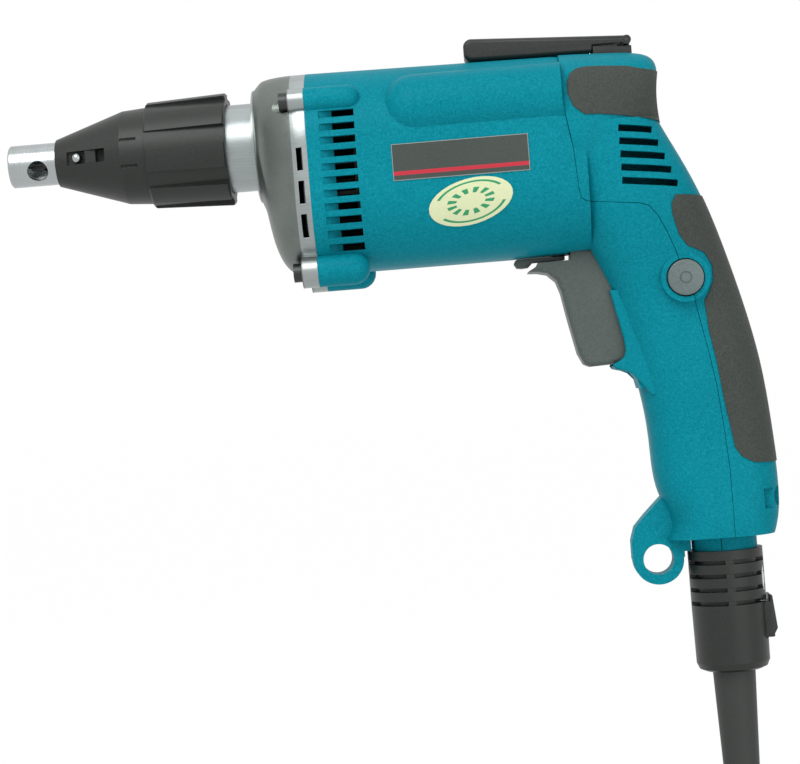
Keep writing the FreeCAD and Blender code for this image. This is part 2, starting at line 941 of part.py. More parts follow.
# Depth sleeve: black cone with eight finger pads, turned by hand.
sleeve_bore = dim.locator_radius + dim.free_gap
spigot_bore = dim.spigot_radius + dim.run_gap
ring_front = -dim.snap_ring_reach - dim.snap_ring_width * HALF
ring_back = -dim.snap_ring_reach + dim.snap_ring_width * HALF
skirt_bore = dim.neck_radius + dim.free_gap
sleeve_body = turned("sleeve_body", (
    (-dim.sleeve_front, sleeve_bore),
    (-dim.sleeve_front, dim.sleeve_tip_radius),
    (-dim.sleeve_cone_end, dim.sleeve_cone_radius),
    (-dim.sleeve_grip_start, dim.sleeve_grip_radius),
    (-dim.sleeve_grip_start, dim.sleeve_base_radius),
    (-dim.sleeve_back, dim.sleeve_base_radius),
    (-dim.sleeve_back, skirt_bore),
    (-dim.sleeve_back - dim.sleeve_skirt, skirt_bore),
    (-dim.sleeve_back - dim.sleeve_skirt, spigot_bore),
    (ring_back + dim.free_gap, spigot_bore),
    (ring_back + dim.free_gap, spigot_bore + dim.snap_ring_height + dim.free_gap),
    (ring_front - dim.free_gap, spigot_bore + dim.snap_ring_height + dim.free_gap),
    (ring_front - dim.free_gap, spigot_bore),
    (-dim.sleeve_grip_start, spigot_bore),
    (-dim.sleeve_grip_start, sleeve_bore),
), turn=FreeCAD.Rotation(FreeCAD.Vector(1, 0, 0), SIZES["sleeve_pad_turn"]))
pad_sketch = add_sketch(sleeve_body, "sleeve_pad_profile", "XZ_Plane")
pad_slope = dim.sleeve_pad_back_radius - dim.sleeve_pad_front_radius
outline(pad_sketch, (
    (-dim.sleeve_grip_start, dim.sleeve_grip_radius),
    (-dim.sleeve_grip_start, dim.sleeve_pad_front_radius - pad_slope * HALF),
    (-dim.sleeve_grip_start + pad_slope * HALF, dim.sleeve_pad_front_radius),
    (-dim.sleeve_back - pad_slope * HALF, dim.sleeve_pad_back_radius),
    (-dim.sleeve_back, dim.sleeve_pad_back_radius - pad_slope * HALF),
    (-dim.sleeve_back, dim.sleeve_grip_radius),
))
pad_spin = sleeve_body.newObject("PartDesign::Revolution", "sleeve_pad_turn")
pad_spin.Profile = pad_sketch
pad_spin.ReferenceAxis = (pad_sketch, ["H_Axis"])
pad_spin.Midplane = True
bind(pad_spin, Angle=dim.sleeve_pad_angle)
doc.recompute()
pad_ring = sleeve_body.newObject("PartDesign::PolarPattern", "sleeve_pads")
pad_ring.Originals = [pad_spin]
pad_ring.Axis = (pad_sketch, ["H_Axis"])
repeat(pad_ring, dim.sleeve_pad_count)
sleeve_body.Tip = pad_ring
window_floor = sleeve_bore + dim.free_gap
window_low = dim.sleeve_window_rise - dim.sleeve_window_height * HALF
window_high = dim.sleeve_window_rise + dim.sleeve_window_height * HALF
window_end = -dim.sleeve_window_start + dim.sleeve_window_length
window = box(
    "sleeve_window",
    (-dim.sleeve_window_start, -dim.sleeve_base_radius - dim.overrun, window_low),
    (window_end, -window_floor, window_high))
mark_half = dim.sleeve_mark_height * HALF
marks = [box(
    f"sleeve_mark_{name}",
    (-dim.sleeve_mark_reach, -dim.sleeve_base_radius - dim.overrun, rise - mark_half),
    (-dim.sleeve_mark_reach + dim.sleeve_mark_length,
     -dim.sleeve_cone_radius + dim.sleeve_mark_depth, rise + mark_half))
    for name, rise in (("high", dim.sleeve_mark_rise), ("low", -dim.sleeve_mark_rise))]
node("depth_sleeve", cut("depth_sleeve", sleeve_body, window, *marks))
ball_side = window_floor + dim.detent_ball_radius + dim.run_gap
node("detent_ball", ball(
    "detent_ball", (-dim.detent_ball_reach, -ball_side, dim.sleeve_window_rise),
    dim.detent_ball_radius))
block_end = window_end - dim.detent_block_back
node("detent_block", box(
    "detent_block",
    (block_end - dim.detent_block_length, -ball_side - dim.detent_ball_radius,
     window_low + dim.run_gap),
    (block_end, -window_floor - dim.run_gap, window_high - dim.run_gap)))

# Snap ring that keeps the sleeve on the gear case spigot.
node("snap_ring", turned("snap_ring", (
    (ring_front, dim.spigot_radius - dim.snap_ring_depth + dim.run_gap),
    (ring_front, spigot_bore + dim.snap_ring_height),
    (ring_back, spigot_bore + dim.snap_ring_height),
    (ring_back, dim.spigot_radius - dim.snap_ring_depth + dim.run_gap),
)))

# Gear case: loft from the round nose to the barrel's section, with neck and spigot.
case_loft = loft("case_loft", "YZ_Plane", [
    (dim.case_length * place, -dim.barrel_half_width * wide, dim.barrel_half_width * wide,
     -dim.barrel_drop * low, dim.barrel_top * high, dim.barrel_corner * corner)
    for place, wide, high, low, corner in CASE_SHARES])
collar_front = -dim.case_length - dim.case_collar * HALF
neck_front = -dim.case_length - dim.neck_length
spigot_front = neck_front - dim.spigot_length
case_neck = turned("case_neck", (
    (spigot_front, ZERO),
    (spigot_front, dim.spigot_radius),
    (ring_front - dim.run_gap, dim.spigot_radius),
    (ring_front - dim.run_gap, dim.spigot_radius - dim.snap_ring_depth),
    (ring_back + dim.run_gap, dim.spigot_radius - dim.snap_ring_depth),
    (ring_back + dim.run_gap, dim.spigot_radius),
    (neck_front, dim.spigot_radius),
    (neck_front, dim.neck_radius),
    (collar_front, dim.neck_radius),
    (collar_front, dim.case_nose_radius),
    (-dim.case_length + dim.case_collar * HALF, dim.case_nose_radius),
    (-dim.case_length + dim.case_collar * HALF, ZERO),
))
case_parts = [case_loft, case_neck]
case_cuts = []
screws = []
barrel_bosses = []
thread_cuts = []
for side, sign in SIDES:
    for row, reach, rise, boss_radius, boss_length in (
            ("top", dim.top_screw_side, dim.top_screw_rise, dim.top_boss_radius,
             dim.top_boss_length),
            ("low", dim.low_screw_side, -dim.low_screw_drop, dim.low_lug_radius,
             dim.low_lug_length)):
        tag = f"{row}_{side}"
        y = reach * sign
        case_parts.append(rod(
            f"case_boss_{tag}", "x", (-dim.case_screw_grip, y, rise), boss_radius,
            dim.case_screw_grip))
        head_gap = dim.case_screw_head_radius + dim.free_gap
        case_cuts.append(rod(
            f"head_room_{tag}", "x", (-dim.case_length - dim.overrun, y, rise), head_gap,
            dim.case_length + dim.overrun - dim.case_screw_grip))
        case_cuts.append(rod(
            f"shank_room_{tag}", "x", (-dim.case_screw_grip - dim.overrun, y, rise),
            dim.case_screw_radius + dim.seat_gap, dim.case_screw_grip + dim.overrun * 2))
        shank = rod(
            f"shank_{tag}", "x", (-dim.case_screw_grip, y, rise), dim.case_screw_radius,
            dim.case_screw_grip + dim.case_screw_depth)
        head = rod(
            f"head_{tag}", "x", (-dim.case_screw_grip - dim.case_screw_head, y, rise),
            dim.case_screw_head_radius, dim.case_screw_head)
        slots = []
        for name, wide, tall in (("flat", dim.case_screw_head_radius, dim.case_screw_slot * HALF),
                                 ("tall", dim.case_screw_slot * HALF, dim.case_screw_head_radius)):
            wide, tall = wide * SLOT_SHARE, tall * SLOT_SHARE
            slots.append(box(
                f"slot_{name}_{tag}",
                (-dim.case_screw_grip - dim.case_screw_head - dim.overrun, y - wide, rise - tall),
                (-dim.case_screw_grip - dim.case_screw_head * HALF, y + wide, rise + tall)))
        screws.append(cut(f"screw_{tag}", fuse(f"screw_blank_{tag}", shank, head), *slots))
        end = boss_length - boss_radius
        barrel_bosses.append(rod(f"boss_{tag}", "x", (ZERO, y, rise), boss_radius, end))
        barrel_bosses.append(ball(f"boss_end_{tag}", (end, y, rise), boss_radius))
        thread_cuts.append(rod(
            f"thread_{tag}", "x", (-dim.overrun, y, rise), dim.case_screw_radius + dim.run_gap,
            dim.case_screw_depth + dim.free_gap + dim.overrun))
    for row in range(3):
        top = -dim.case_vent_top - dim.case_vent_pitch * row
        inner = (dim.barrel_half_width - dim.case_vent_deep) * sign
        outer = (dim.barrel_half_width + dim.overrun) * sign
        low_y, high_y = (outer, inner) if sign < 0 else (inner, outer)
        case_cuts.append(box(
            f"case_vent_{side}_{row}",
            (-dim.case_vent_wide - dim.case_vent_back, low_y, top - dim.case_vent_tall),
            (-dim.case_vent_back, high_y, top)))
gear_room_front = -dim.case_length + dim.case_collar * HALF + HALF * dim.seat_gap
bush_radius = dim.spindle_radius + dim.bush_wall
case_cuts.append(turned("case_bores", (
    (spigot_front - dim.overrun, ZERO),
    (spigot_front - dim.overrun, dim.locator_radius + dim.run_gap),
    (neck_front, dim.locator_radius + dim.run_gap),
    (neck_front, bush_radius),
    (gear_room_front, bush_radius),
    (gear_room_front, dim.gear_room_radius),
    (dim.overrun, dim.gear_room_radius),
    (dim.overrun, ZERO),
)))
case_cuts.append(rod(
    "pinion_room", "x", (-dim.gear_back - dim.gear_face - dim.pinion_room_gap, ZERO, -motor_drop),
    dim.pinion_room_radius, dim.gear_back + dim.gear_face + dim.overrun))


def barrel_rise(x):
    """Height of the barrel's top, which falls towards the back, at a place along it."""
    return dim.barrel_top - dim.barrel_top_fall * (x / dim.barrel_length)


inner_half = dim.barrel_half_width - dim.barrel_wall
inner_top = dim.barrel_top - dim.barrel_wall
inner_drop = dim.barrel_drop - dim.barrel_wall
inner_corner = dim.barrel_corner - dim.barrel_wall
case_cuts.append(loft("plate_room", "YZ_Plane", [
    (x, -inner_half, inner_half, -inner_drop, inner_top, inner_corner)
    for x in (-dim.case_pocket, dim.overrun)], straight=True))
node("gear_housing", cut("gear_housing", fuse("case_blank", *case_parts), *case_cuts))
node("gear_housing_screws", fuse("gear_housing_screws", *screws))

# Bearing plate with the gear bush and the front motor bearing.
plate_half = inner_half - dim.seat_gap
plate_gap = dim.barrel_wall + dim.seat_gap
plate_low = inner_drop - dim.seat_gap
plate_start = -dim.case_pocket + dim.seat_gap
plate_blank = loft("plate_blank", "YZ_Plane", [
    (x, -plate_half, plate_half, -plate_low, barrel_rise(dim.plate_depth) - plate_gap,
     inner_corner - dim.seat_gap)
    for x in (plate_start, plate_start + dim.plate_depth)], straight=True)
gear_bush_radius = dim.gear_hub_radius + dim.gear_bush_wall
plate_back = plate_start + dim.plate_depth
bearing_front = plate_back - dim.front_bearing_width
node("bearing_plate", cut(
    "bearing_plate", plate_blank,
    rod("bush_seat", "x", (-dim.overrun, ZERO, ZERO), gear_bush_radius, dim.overrun * 3),
    rod("bearing_seat", "x", (bearing_front, ZERO, -motor_drop), dim.front_bearing_radius,
        dim.overrun * 3),
    rod("shaft_room", "x", (-dim.overrun, ZERO, -motor_drop),
        dim.motor_shaft_radius + dim.bearing_ring_wall, dim.overrun * 3)))
node("gear_bush", turned("gear_bush", (
    (plate_start, dim.gear_hub_radius + dim.run_gap),
    (plate_start, gear_bush_radius),
    (plate_back, gear_bush_radius),
    (plate_back, dim.gear_hub_radius + dim.run_gap),
)))


def bearing(name, start, width, outer, inner, drop):
    """Shielded ball bearing drawn as one ring with shallow grooves beside its shields."""
    race = dim.bearing_ring_wall
    shield = race * SHIELD_SHARE
    return turned(name, (
        (start, inner),
        (start, inner + race),
        (start + shield, inner + race),
        (start + shield, outer - race),
        (start, outer - race),
        (start, outer),
        (start + width, outer),
        (start + width, outer - race),
        (start + width - shield, outer - race),
        (start + width - shield, inner + race),
        (start + width, inner + race),
        (start + width, inner),
    ), z=-drop)


node("front_bearing", bearing(
    "front_bearing", bearing_front, dim.front_bearing_width, dim.front_bearing_radius,
    dim.motor_shaft_radius + dim.run_gap, motor_drop))


def toothed(name, blank, teeth, start, length):
    """Add straight teeth to a turned blank: one padded tooth, patterned round the axis."""
    pitch_radius = dim.gear_module * teeth * HALF
    tip = pitch_radius + dim.gear_module * ADDENDUM_SHARE
    root = pitch_radius - dim.gear_module * DEDENDUM_SHARE
    half = (pitch - dim.tooth_backlash) * HALF
    thin = half - dim.gear_module * ADDENDUM_SHARE * FLANK_SHARE
    thick = half + dim.gear_module * DEDENDUM_SHARE * FLANK_SHARE
    sunk = root - dim.gear_module * HALF
    return ringed(blank, f"{name}_tooth", (
        (-thick, sunk), (thick, sunk), (thick, root), (half, pitch_radius),
        (thin, tip), (-thin, tip), (-half, pitch_radius), (-thick, root)), start, length, teeth)


gear_start = -dim.gear_back - dim.gear_face
gear_root = dim.gear_module * (dim.gear_teeth * HALF - DEDENDUM_SHARE)
tail_bore = dim.spindle_tail_radius + dim.run_gap
gear_blank = turned("gear_blank", (
    (gear_start, tail_bore),
    (gear_start, gear_root),
    (-dim.gear_back, gear_root),
    (-dim.gear_back, dim.gear_hub_radius),
    (-dim.gear_back + dim.gear_hub_length, dim.gear_hub_radius),
    (-dim.gear_back + dim.gear_hub_length, tail_bore),
))
node("drive_gear", toothed("drive_gear", gear_blank, dim.gear_teeth, gear_start, dim.gear_face))

# Spindle with clutch flange and a hexagon socket for the bit holder.
flange_back = gear_start - dim.clutch_gap
flange_front = flange_back - dim.clutch_flange_width
spindle_blank = turned("spindle_blank", (
    (-dim.spindle_front, ZERO),
    (-dim.spindle_front, dim.spindle_radius),
    (flange_front, dim.spindle_radius),
    (flange_front, dim.clutch_flange_radius),
    (flange_back, dim.clutch_flange_radius),
    (flange_back, dim.spindle_tail_radius),
    (dim.spindle_tail, dim.spindle_tail_radius),
    (dim.spindle_tail, ZERO),
))
socket = prism(
    "spindle_socket", "YZ_Plane", hexagon(dim.bit_across_flats + dim.run_gap * 2),
    dim.holder_shank_length + dim.free_gap + dim.overrun, -dim.spindle_front - dim.overrun)
node("spindle", cut("spindle", spindle_blank, socket))
node("clutch_spring", coded(
    "clutch_spring",
    spring_shape(SIZES["clutch_spring_radius"], SIZES["clutch_wire"], SIZES["clutch_gap"], 3),
    x=flange_back))
NODES["clutch_spring"].Placement = FreeCAD.Placement(NODES["clutch_spring"].Placement.Base, TURN_X)
bush_front = neck_front + dim.seat_gap
bush_back = gear_room_front - dim.seat_gap
node("spindle_bush", turned("spindle_bush", (
    (bush_front, dim.spindle_radius + dim.run_gap),
    (bush_front, bush_radius),
    (bush_back, bush_radius),
    (bush_back, dim.spindle_radius + dim.run_gap),
)))
node("spindle_seal", turned("spindle_seal", (
    (neck_front - dim.seal_width, dim.spindle_radius + dim.run_gap),
    (neck_front - dim.seal_width, dim.locator_radius + dim.run_gap),
    (neck_front, dim.locator_radius + dim.run_gap),
    (neck_front, dim.spindle_radius + dim.run_gap),
)))

# Magnetic bit holder and a cross-point bit, recessed behind the locator's mouth.
bit_back = -dim.bit_front + dim.bit_length
holder_blank = turned("holder_blank", (
    (-dim.holder_front, ZERO),
    (-dim.holder_front, dim.holder_radius - dim.locator_chamfer),
    (-dim.holder_front + dim.locator_chamfer, dim.holder_radius),
    (-dim.spindle_front, dim.holder_radius),
    (-dim.spindle_front, ZERO),
))
shank_hex = prism(
    "holder_shank", "YZ_Plane", hexagon(dim.bit_across_flats), dim.holder_shank_length,
    -dim.spindle_front)
bit_room = prism(
    "bit_room", "YZ_Plane", hexagon(dim.bit_across_flats + dim.run_gap * 2),
    dim.overrun + dim.holder_front + bit_back, -dim.holder_front - dim.overrun)
magnet_radius = dim.bit_across_flats * HALF - dim.seat_gap
magnet_room = rod(
    "magnet_room", "x", (bit_back - dim.seat_gap, ZERO, ZERO), magnet_radius,
    dim.magnet_length + dim.seat_gap)
node("bit_holder", cut(
    "bit_holder", fuse("holder_whole", holder_blank, shank_hex), bit_room, magnet_room))
node("holder_magnet", rod(
    "holder_magnet", "x", (bit_back, ZERO, ZERO), magnet_radius, dim.magnet_length))
bit_hex_front = bit_back - dim.bit_shank_length
bit_hex = prism(
    "bit_shank", "YZ_Plane", hexagon(dim.bit_across_flats), dim.bit_shank_length, bit_hex_front)
bit_nose = turned("bit_nose", (
    (-dim.bit_front, ZERO),
    (-dim.bit_front, dim.bit_point_radius),
    (-dim.bit_front + dim.bit_wing_length * HALF, dim.bit_neck_radius),
    (bit_hex_front, dim.bit_neck_radius),
    (bit_hex_front, ZERO),
))
flutes = []
for side, sign in SIDES:
    for level, up in (("low", -1), ("high", 1)):
        near, far = dim.bit_wing_width * HALF, dim.bit_neck_radius + dim.overrun
        ys = sorted((near * sign, far * sign), key=lambda size: size.value)
        zs = sorted((near * up, far * up), key=lambda size: size.value)
        flutes.append(box(
            f"flute_{side}_{level}", (-dim.bit_front - dim.overrun, ys[0], zs[0]),
            (-dim.bit_front + dim.bit_wing_length, ys[1], zs[1])))
bit_point = cut("bit_point", bit_nose, *flutes)
node("screw_bit", fuse("screw_bit", bit_hex, bit_point))

# Motor housing and rear cover: skins of the barrel, rear knob and handle at a set distance
# from the outer surface, so that walls, pads and recesses follow the same sections.


def knob_skin(name, grow):
    """Rear knob with a hollow for the hand, larger or smaller all round by an amount."""
    length = dim.knob_end - dim.knob_start
    sections = []
    for place, wide, high, low, corner in KNOB_SHARES:
        x = dim.knob_start + length * place
        if place == 1.0:
            x = x + grow
        half = dim.barrel_half_width * wide + grow
        sections.append((x, -half, half, -dim.barrel_drop * low - grow,
                         dim.barrel_top * high + grow, dim.barrel_corner * corner + grow))
    reach = dim.barrel_half_width + dim.overrun
    spot = (dim.knob_end - dim.hand_hollow_depth + dim.hand_hollow_radius, -reach,
            dim.hand_hollow_rise)
    hand_hollow = rod(f"{name}_hollow", "y", spot, dim.hand_hollow_radius - grow, reach * 2)
    return cut(name, loft(f"{name}_blank", "YZ_Plane", sections), hand_hollow)


def handle_skin(name, grow):
    """Handle, larger or smaller all round by a given amount."""
    length = dim.handle_end_drop - dim.handle_top_drop
    reach = dim.handle_back - dim.handle_front
    sections = []
    for place, front, back, wide, corner in HANDLE_SHARES:
        z = -dim.handle_top_drop - length * place
        if place == 1.0:
            z = z - grow
        half = dim.handle_root_half * wide + grow
        sections.append((z, dim.handle_front + reach * front - grow,
                         dim.handle_front + reach * back + grow, -half, half,
                         dim.handle_root_half * corner + grow))
    return loft(name, "XY_Plane", sections)


barrel_outer = loft("barrel_outer", "YZ_Plane", [
    (x, -dim.barrel_half_width + side_fall, dim.barrel_half_width - side_fall, -dim.barrel_drop,
     barrel_rise(x) - top_fall, dim.barrel_corner)
    for x, side_fall, top_fall in (
        (ZERO, ZERO, ZERO), (dim.barrel_length - dim.barrel_blend, ZERO, ZERO),
        (dim.barrel_length, dim.barrel_blend_side, dim.barrel_blend_top))], straight=True)
barrel_inner = loft("barrel_inner", "YZ_Plane", [
    (x, -inner_half, inner_half, -inner_drop, barrel_rise(x) - dim.barrel_wall, inner_corner)
    for x in (-dim.overrun, dim.barrel_length - dim.barrel_wall)], straight=True)
handle_outer = handle_skin("handle_outer", ZERO)
knob_outer = knob_skin("knob_outer", ZERO)
toe = prism(
    "toe", "XZ_Plane",
    spread(TOE_SHARES, dim.loop_reach - dim.loop_radius, dim.toe_tall - dim.loop_drop,
           dim.toe_long, dim.toe_tall), dim.toe_half * 2, middle=True)
loop_disc = rod(
    "loop_disc", "y", (dim.loop_reach, -dim.toe_half, -dim.loop_drop), dim.loop_radius,
    dim.toe_half * 2)
trigger_low = -dim.trigger_top_drop - dim.trigger_height
trigger_lip = prism(
    "trigger_lip", "XZ_Plane",
    spread(LIP_SHARES, dim.lip_front, trigger_low - dim.free_gap - dim.run_gap, dim.lip_long,
           dim.lip_tall), dim.lip_half * 2, middle=True)
front_parts = [barrel_outer, handle_outer, toe, loop_disc, trigger_lip] + barrel_bosses
for side, sign in SIDES:
    start = dim.bulge_start + dim.bulge_radius
    spot = (start, dim.bulge_side * sign, dim.bulge_rise)
    front_parts.append(rod(
        f"bulge_{side}", "x", spot, dim.bulge_radius, dim.barrel_length - start))
    front_parts.append(ball(f"bulge_end_{side}", spot, dim.bulge_radius))
hollow = fuse(
    "hollow", barrel_inner, knob_skin("knob_inner", -dim.handle_wall),
    handle_skin("handle_inner", -dim.handle_wall))
front_shell = cut("front_shell", fuse("front_outer", *front_parts), hollow)
rear_outer = fuse("rear_outer", barrel_outer, knob_outer, handle_outer)
rear_shell = cut("rear_shell", rear_outer, hollow)

# Rib inside the cover, behind the rear vents.
cover_rib = common("cover_rib", box(
    "cover_rib_plate", (dim.cover_rib_start, -dim.cover_rib * HALF, -dim.cover_rib_drop),
    (dim.handle_back, dim.cover_rib * HALF, dim.hook_base_foot - dim.overrun)), rear_outer)

# Ring round the lock button, and posts for the cover screws, split by the parting like the walls.
lock_ring_radius = dim.lock_radius + dim.free_gap + dim.lock_ring_wall
lock_ring = rod(
    "lock_ring", "y", (dim.lock_reach, -dim.lock_ring_out, -dim.lock_drop), lock_ring_radius,
    dim.lock_ring_out - dim.lock_ring_in)
lock_hole = rod(
    "lock_hole", "y", (dim.lock_reach, -dim.lock_ring_out - dim.overrun, -dim.lock_drop),
    dim.lock_radius + dim.free_gap, dim.lock_ring_out - dim.lock_ring_in + dim.overrun * 2)
post_radius = dim.cover_screw_radius + dim.cover_post_wall
screw_drop = dim.handle_end_drop - dim.cover_screw_head_radius * 4
screw_back = dim.handle_back - dim.handle_wall - dim.cover_screw_head
posts, post_cuts, cover_screws = [], [], []
for side, sign in SIDES:
    y = (dim.cover_screw_head_radius + post_radius) * sign
    post = rod(
        f"post_{side}", "x", (dim.loop_reach, y, -screw_drop), post_radius,
        screw_back + dim.handle_wall - dim.loop_reach)
    posts.append(common(f"post_inside_{side}", post, handle_outer))
    post_cuts.append(rod(
        f"post_bore_{side}", "x", (screw_back - dim.cover_screw_length, y, -screw_drop),
        dim.cover_screw_radius + dim.run_gap, dim.cover_screw_length + dim.overrun))
    post_cuts.append(rod(
        f"post_head_{side}", "x", (screw_back, y, -screw_drop),
        dim.cover_screw_head_radius + dim.free_gap, dim.overrun * 2))
    shank = rod(
        f"cover_shank_{side}", "x", (screw_back - dim.cover_screw_length + dim.free_gap, y,
                                     -screw_drop),
        dim.cover_screw_radius, dim.cover_screw_length - dim.free_gap)
    head = rod(
        f"cover_head_{side}", "x", (screw_back, y, -screw_drop), dim.cover_screw_head_radius,
        dim.cover_screw_head)
    slot = box(
        f"cover_slot_{side}",
        (screw_back + dim.cover_screw_head * HALF, y - dim.cover_screw_radius,
         -screw_drop - dim.case_screw_slot * HALF),
        (screw_back + dim.cover_screw_head * 2, y + dim.cover_screw_radius,
         -screw_drop + dim.case_screw_slot * HALF))
    cover_screws.append(cut(f"cover_screw_{side}", fuse(f"cover_blank_{side}", shank, head), slot))
node("cover_screws", fuse("cover_screws", *cover_screws))

# Ribs that hold the switch in the handle.
switch_low = -dim.switch_top_drop - dim.switch_height
switch_rib = common("switch_rib_inside", box(
    "switch_rib_plate",
    (dim.switch_front + dim.switch_rib, -dim.handle_root_half, switch_low + dim.switch_rib),
    (dim.switch_front + dim.switch_rib * 2, dim.handle_root_half,
     switch_low + dim.switch_rib * 2)), handle_outer)
switch_room = box(
    "switch_room",
    (dim.switch_front - dim.overrun, -dim.switch_half_width - dim.seat_gap,
     switch_low - dim.seat_gap),
    (dim.switch_front + dim.switch_depth + dim.overrun, dim.switch_half_width + dim.seat_gap,
     -dim.switch_top_drop + dim.seat_gap))

# Parting: everything in front of the joint outline belongs to the motor housing.
parting = spread(
    PARTING_SHARES, dim.parting_top, dim.parting_rise, dim.parting_reach, dim.parting_drop)
far = dim.overrun * 4


def parting_block(name, gap):
    """Block in front of the joint, moved rearwards and up by a gap."""
    line = [(x + gap, z + gap) for x, z in parting]
    front = -dim.case_length
    top, low = line[0][1] + far, line[-1][1] - far
    points = [(front, top), (line[0][0], top)] + line + [(line[-1][0], low), (front, low)]
    return prism(name, "XZ_Plane", points, (dim.barrel_half_width + far) * 2, middle=True)


cord_hole = rod(
    "cord_hole", "z", (dim.cord_reach, ZERO, -dim.handle_end_drop - dim.overrun),
    dim.collar_radius * HALF, dim.overrun * 3)
front_cuts = [lock_hole, cord_hole, switch_room] + thread_cuts + post_cuts
rear_cuts = [lock_hole, cord_hole, switch_room] + post_cuts
front_cuts.append(rod(
    "lanyard_hole", "y", (dim.loop_reach, -dim.toe_half - dim.overrun, -dim.loop_drop),
    dim.lanyard_hole_radius, (dim.toe_half + dim.overrun) * 2))
trigger_top = -dim.trigger_top_drop
trigger_back = dim.trigger_front + dim.trigger_depth
trigger_foot = dim.trigger_front + dim.trigger_depth * max(
    back_share for back_share, _ in TRIGGER_SHARES)
trigger_neck = dim.trigger_front + dim.trigger_depth * TRIGGER_SHARES[-3][0]
front_cuts.append(box(
    "trigger_room",
    (trigger_neck - dim.free_gap * HALF, -dim.trigger_half_width - dim.free_gap,
     trigger_low - dim.free_gap),
    (trigger_foot + dim.trigger_travel + dim.free_gap, dim.trigger_half_width + dim.free_gap,
     -inner_drop + dim.overrun)))
front_cuts.append(rod(
    "lever_hole", "z", (dim.lever_pivot_reach, ZERO, -dim.barrel_drop - dim.overrun),
    dim.lever_pivot_radius + dim.run_gap, dim.overrun * 3))
inner_reach = dim.barrel_half_width * HALF
for side, sign in SIDES:
    ends = sorted((inner_reach * sign, (dim.barrel_half_width + dim.overrun) * sign),
                  key=lambda size: size.value)
    for row in range(11):
        z = dim.vent_top - dim.vent_pitch * row
        front_cuts.append(box(
            f"vent_{side}_{row}", (dim.vent_start, ends[0], z - dim.vent_height * HALF),
            (dim.vent_start + dim.vent_length, ends[1], z + dim.vent_height * HALF)))
    for row in range(5):
        z = -dim.rear_vent_top - dim.rear_vent_pitch * row - dim.rear_vent_height
        slot = box(
            f"rear_vent_{side}_{row}", (dim.rear_vent_start, ends[0], z),
            (dim.rear_vent_start + dim.rear_vent_length + dim.rear_vent_gain * row, ends[1],
             z + dim.rear_vent_height))
        droop = FreeCAD.Rotation(FreeCAD.Vector(0, 1, 0), SIZES["rear_vent_droop"])
        slot.Placement = FreeCAD.Placement(slot.Placement.Base, droop)
        rear_cuts.append(slot)
notch_half = dim.handle_root_half * HANDLE_SHARES[-2][3]
rear_cuts.append(box(
    "back_notch",
    (dim.back_notch_reach, -notch_half - dim.overrun,
     -dim.back_notch_drop - dim.back_notch_height),
    (dim.back_notch_reach + dim.back_notch_long,
     -notch_half + dim.back_notch_long + dim.back_notch_depth, -dim.back_notch_drop)))

# Rubber pads let into the rear cover, standing slightly proud of it.
rear_core = fuse(
    "rear_core", knob_skin("knob_core", -dim.pad_depth), handle_skin("handle_core", -dim.pad_depth))
rear_skin = fuse(
    "rear_skin", knob_skin("knob_proud", dim.pad_proud), handle_skin("handle_proud", dim.pad_proud))
pad_span = (dim.barrel_half_width + dim.overrun) * 2
upper_room = cut("upper_pad_room", prism(
    "upper_pad_block", "XZ_Plane",
    [(dim.knob_start + (dim.knob_end - dim.knob_start) * a, dim.barrel_top * b)
     for a, b in UPPER_PAD_SHARES], pad_span, middle=True), rear_core)
lower_room = cut("handle_pad_room", prism(
    "handle_pad_block", "XZ_Plane",
    spread(HANDLE_PAD_SHARES, dim.handle_front, -dim.handle_top_drop,
           dim.handle_back - dim.handle_front, dim.handle_end_drop - dim.handle_top_drop),
    pad_span, middle=True), rear_core)
node("upper_grip_pad", common("upper_grip_pad", upper_room, rear_skin))
node("handle_grip_pad", common("handle_grip_pad", lower_room, rear_skin))
rear_cuts += [upper_room, lower_room]
base_half = dim.hook_half_width - dim.hook_wall * HALF
hook_foot = box(
    "hook_foot_room",
    (dim.hook_base_start - dim.seat_gap, -base_half - dim.seat_gap, dim.hook_base_foot),
    (dim.hook_pivot_reach + dim.hook_knuckle_radius + dim.seat_gap, base_half + dim.seat_gap,
     dim.barrel_top + dim.overrun))
rear_cuts.append(hook_foot)
front_whole = fuse("front_whole", front_shell, lock_ring, switch_rib, *posts)
rear_whole = fuse("rear_whole", rear_shell, lock_ring, cover_rib, *posts)
node("motor_housing", cut(
    "motor_housing", common("front_half", front_whole, parting_block("front_block", ZERO)),
    *front_cuts))
node("rear_cover", cut(
    "rear_cover", cut("rear_half", rear_whole, parting_block("rear_block", dim.seam_gap)),
    *rear_cuts))

# Bare label plate and plain oval sticker on the left side.
node("label_plate", box(
    "label_plate",
    (dim.label_start, -dim.barrel_half_width - dim.label_thick,
     -dim.label_top_drop - dim.label_height),
    (dim.label_start + dim.label_length, -dim.barrel_half_width, -dim.label_top_drop)))
sticker_spot = (
    dim.sticker_reach - dim.sticker_half_long * 2, dim.barrel_corner - dim.barrel_half_width,
    dim.barrel_corner - dim.barrel_drop)
sticker_ring = cut(
    "sticker_ring",
    rod("sticker_outer", "x", sticker_spot, dim.barrel_corner + dim.run_gap + dim.sticker_thick,
        dim.sticker_half_long * 4),
    rod("sticker_inner", "x", sticker_spot, dim.barrel_corner + dim.run_gap,
        dim.sticker_half_long * 4))
sticker_block = prism(
    "sticker_block", "XZ_Plane",
    oval(dim.sticker_reach, -dim.sticker_drop, dim.sticker_half_long, dim.sticker_half_tall,
         SIZES["sticker_tilt"]), dim.barrel_half_width, y=-dim.barrel_half_width, middle=True)
node("oval_sticker", common("oval_sticker", sticker_ring, sticker_block))

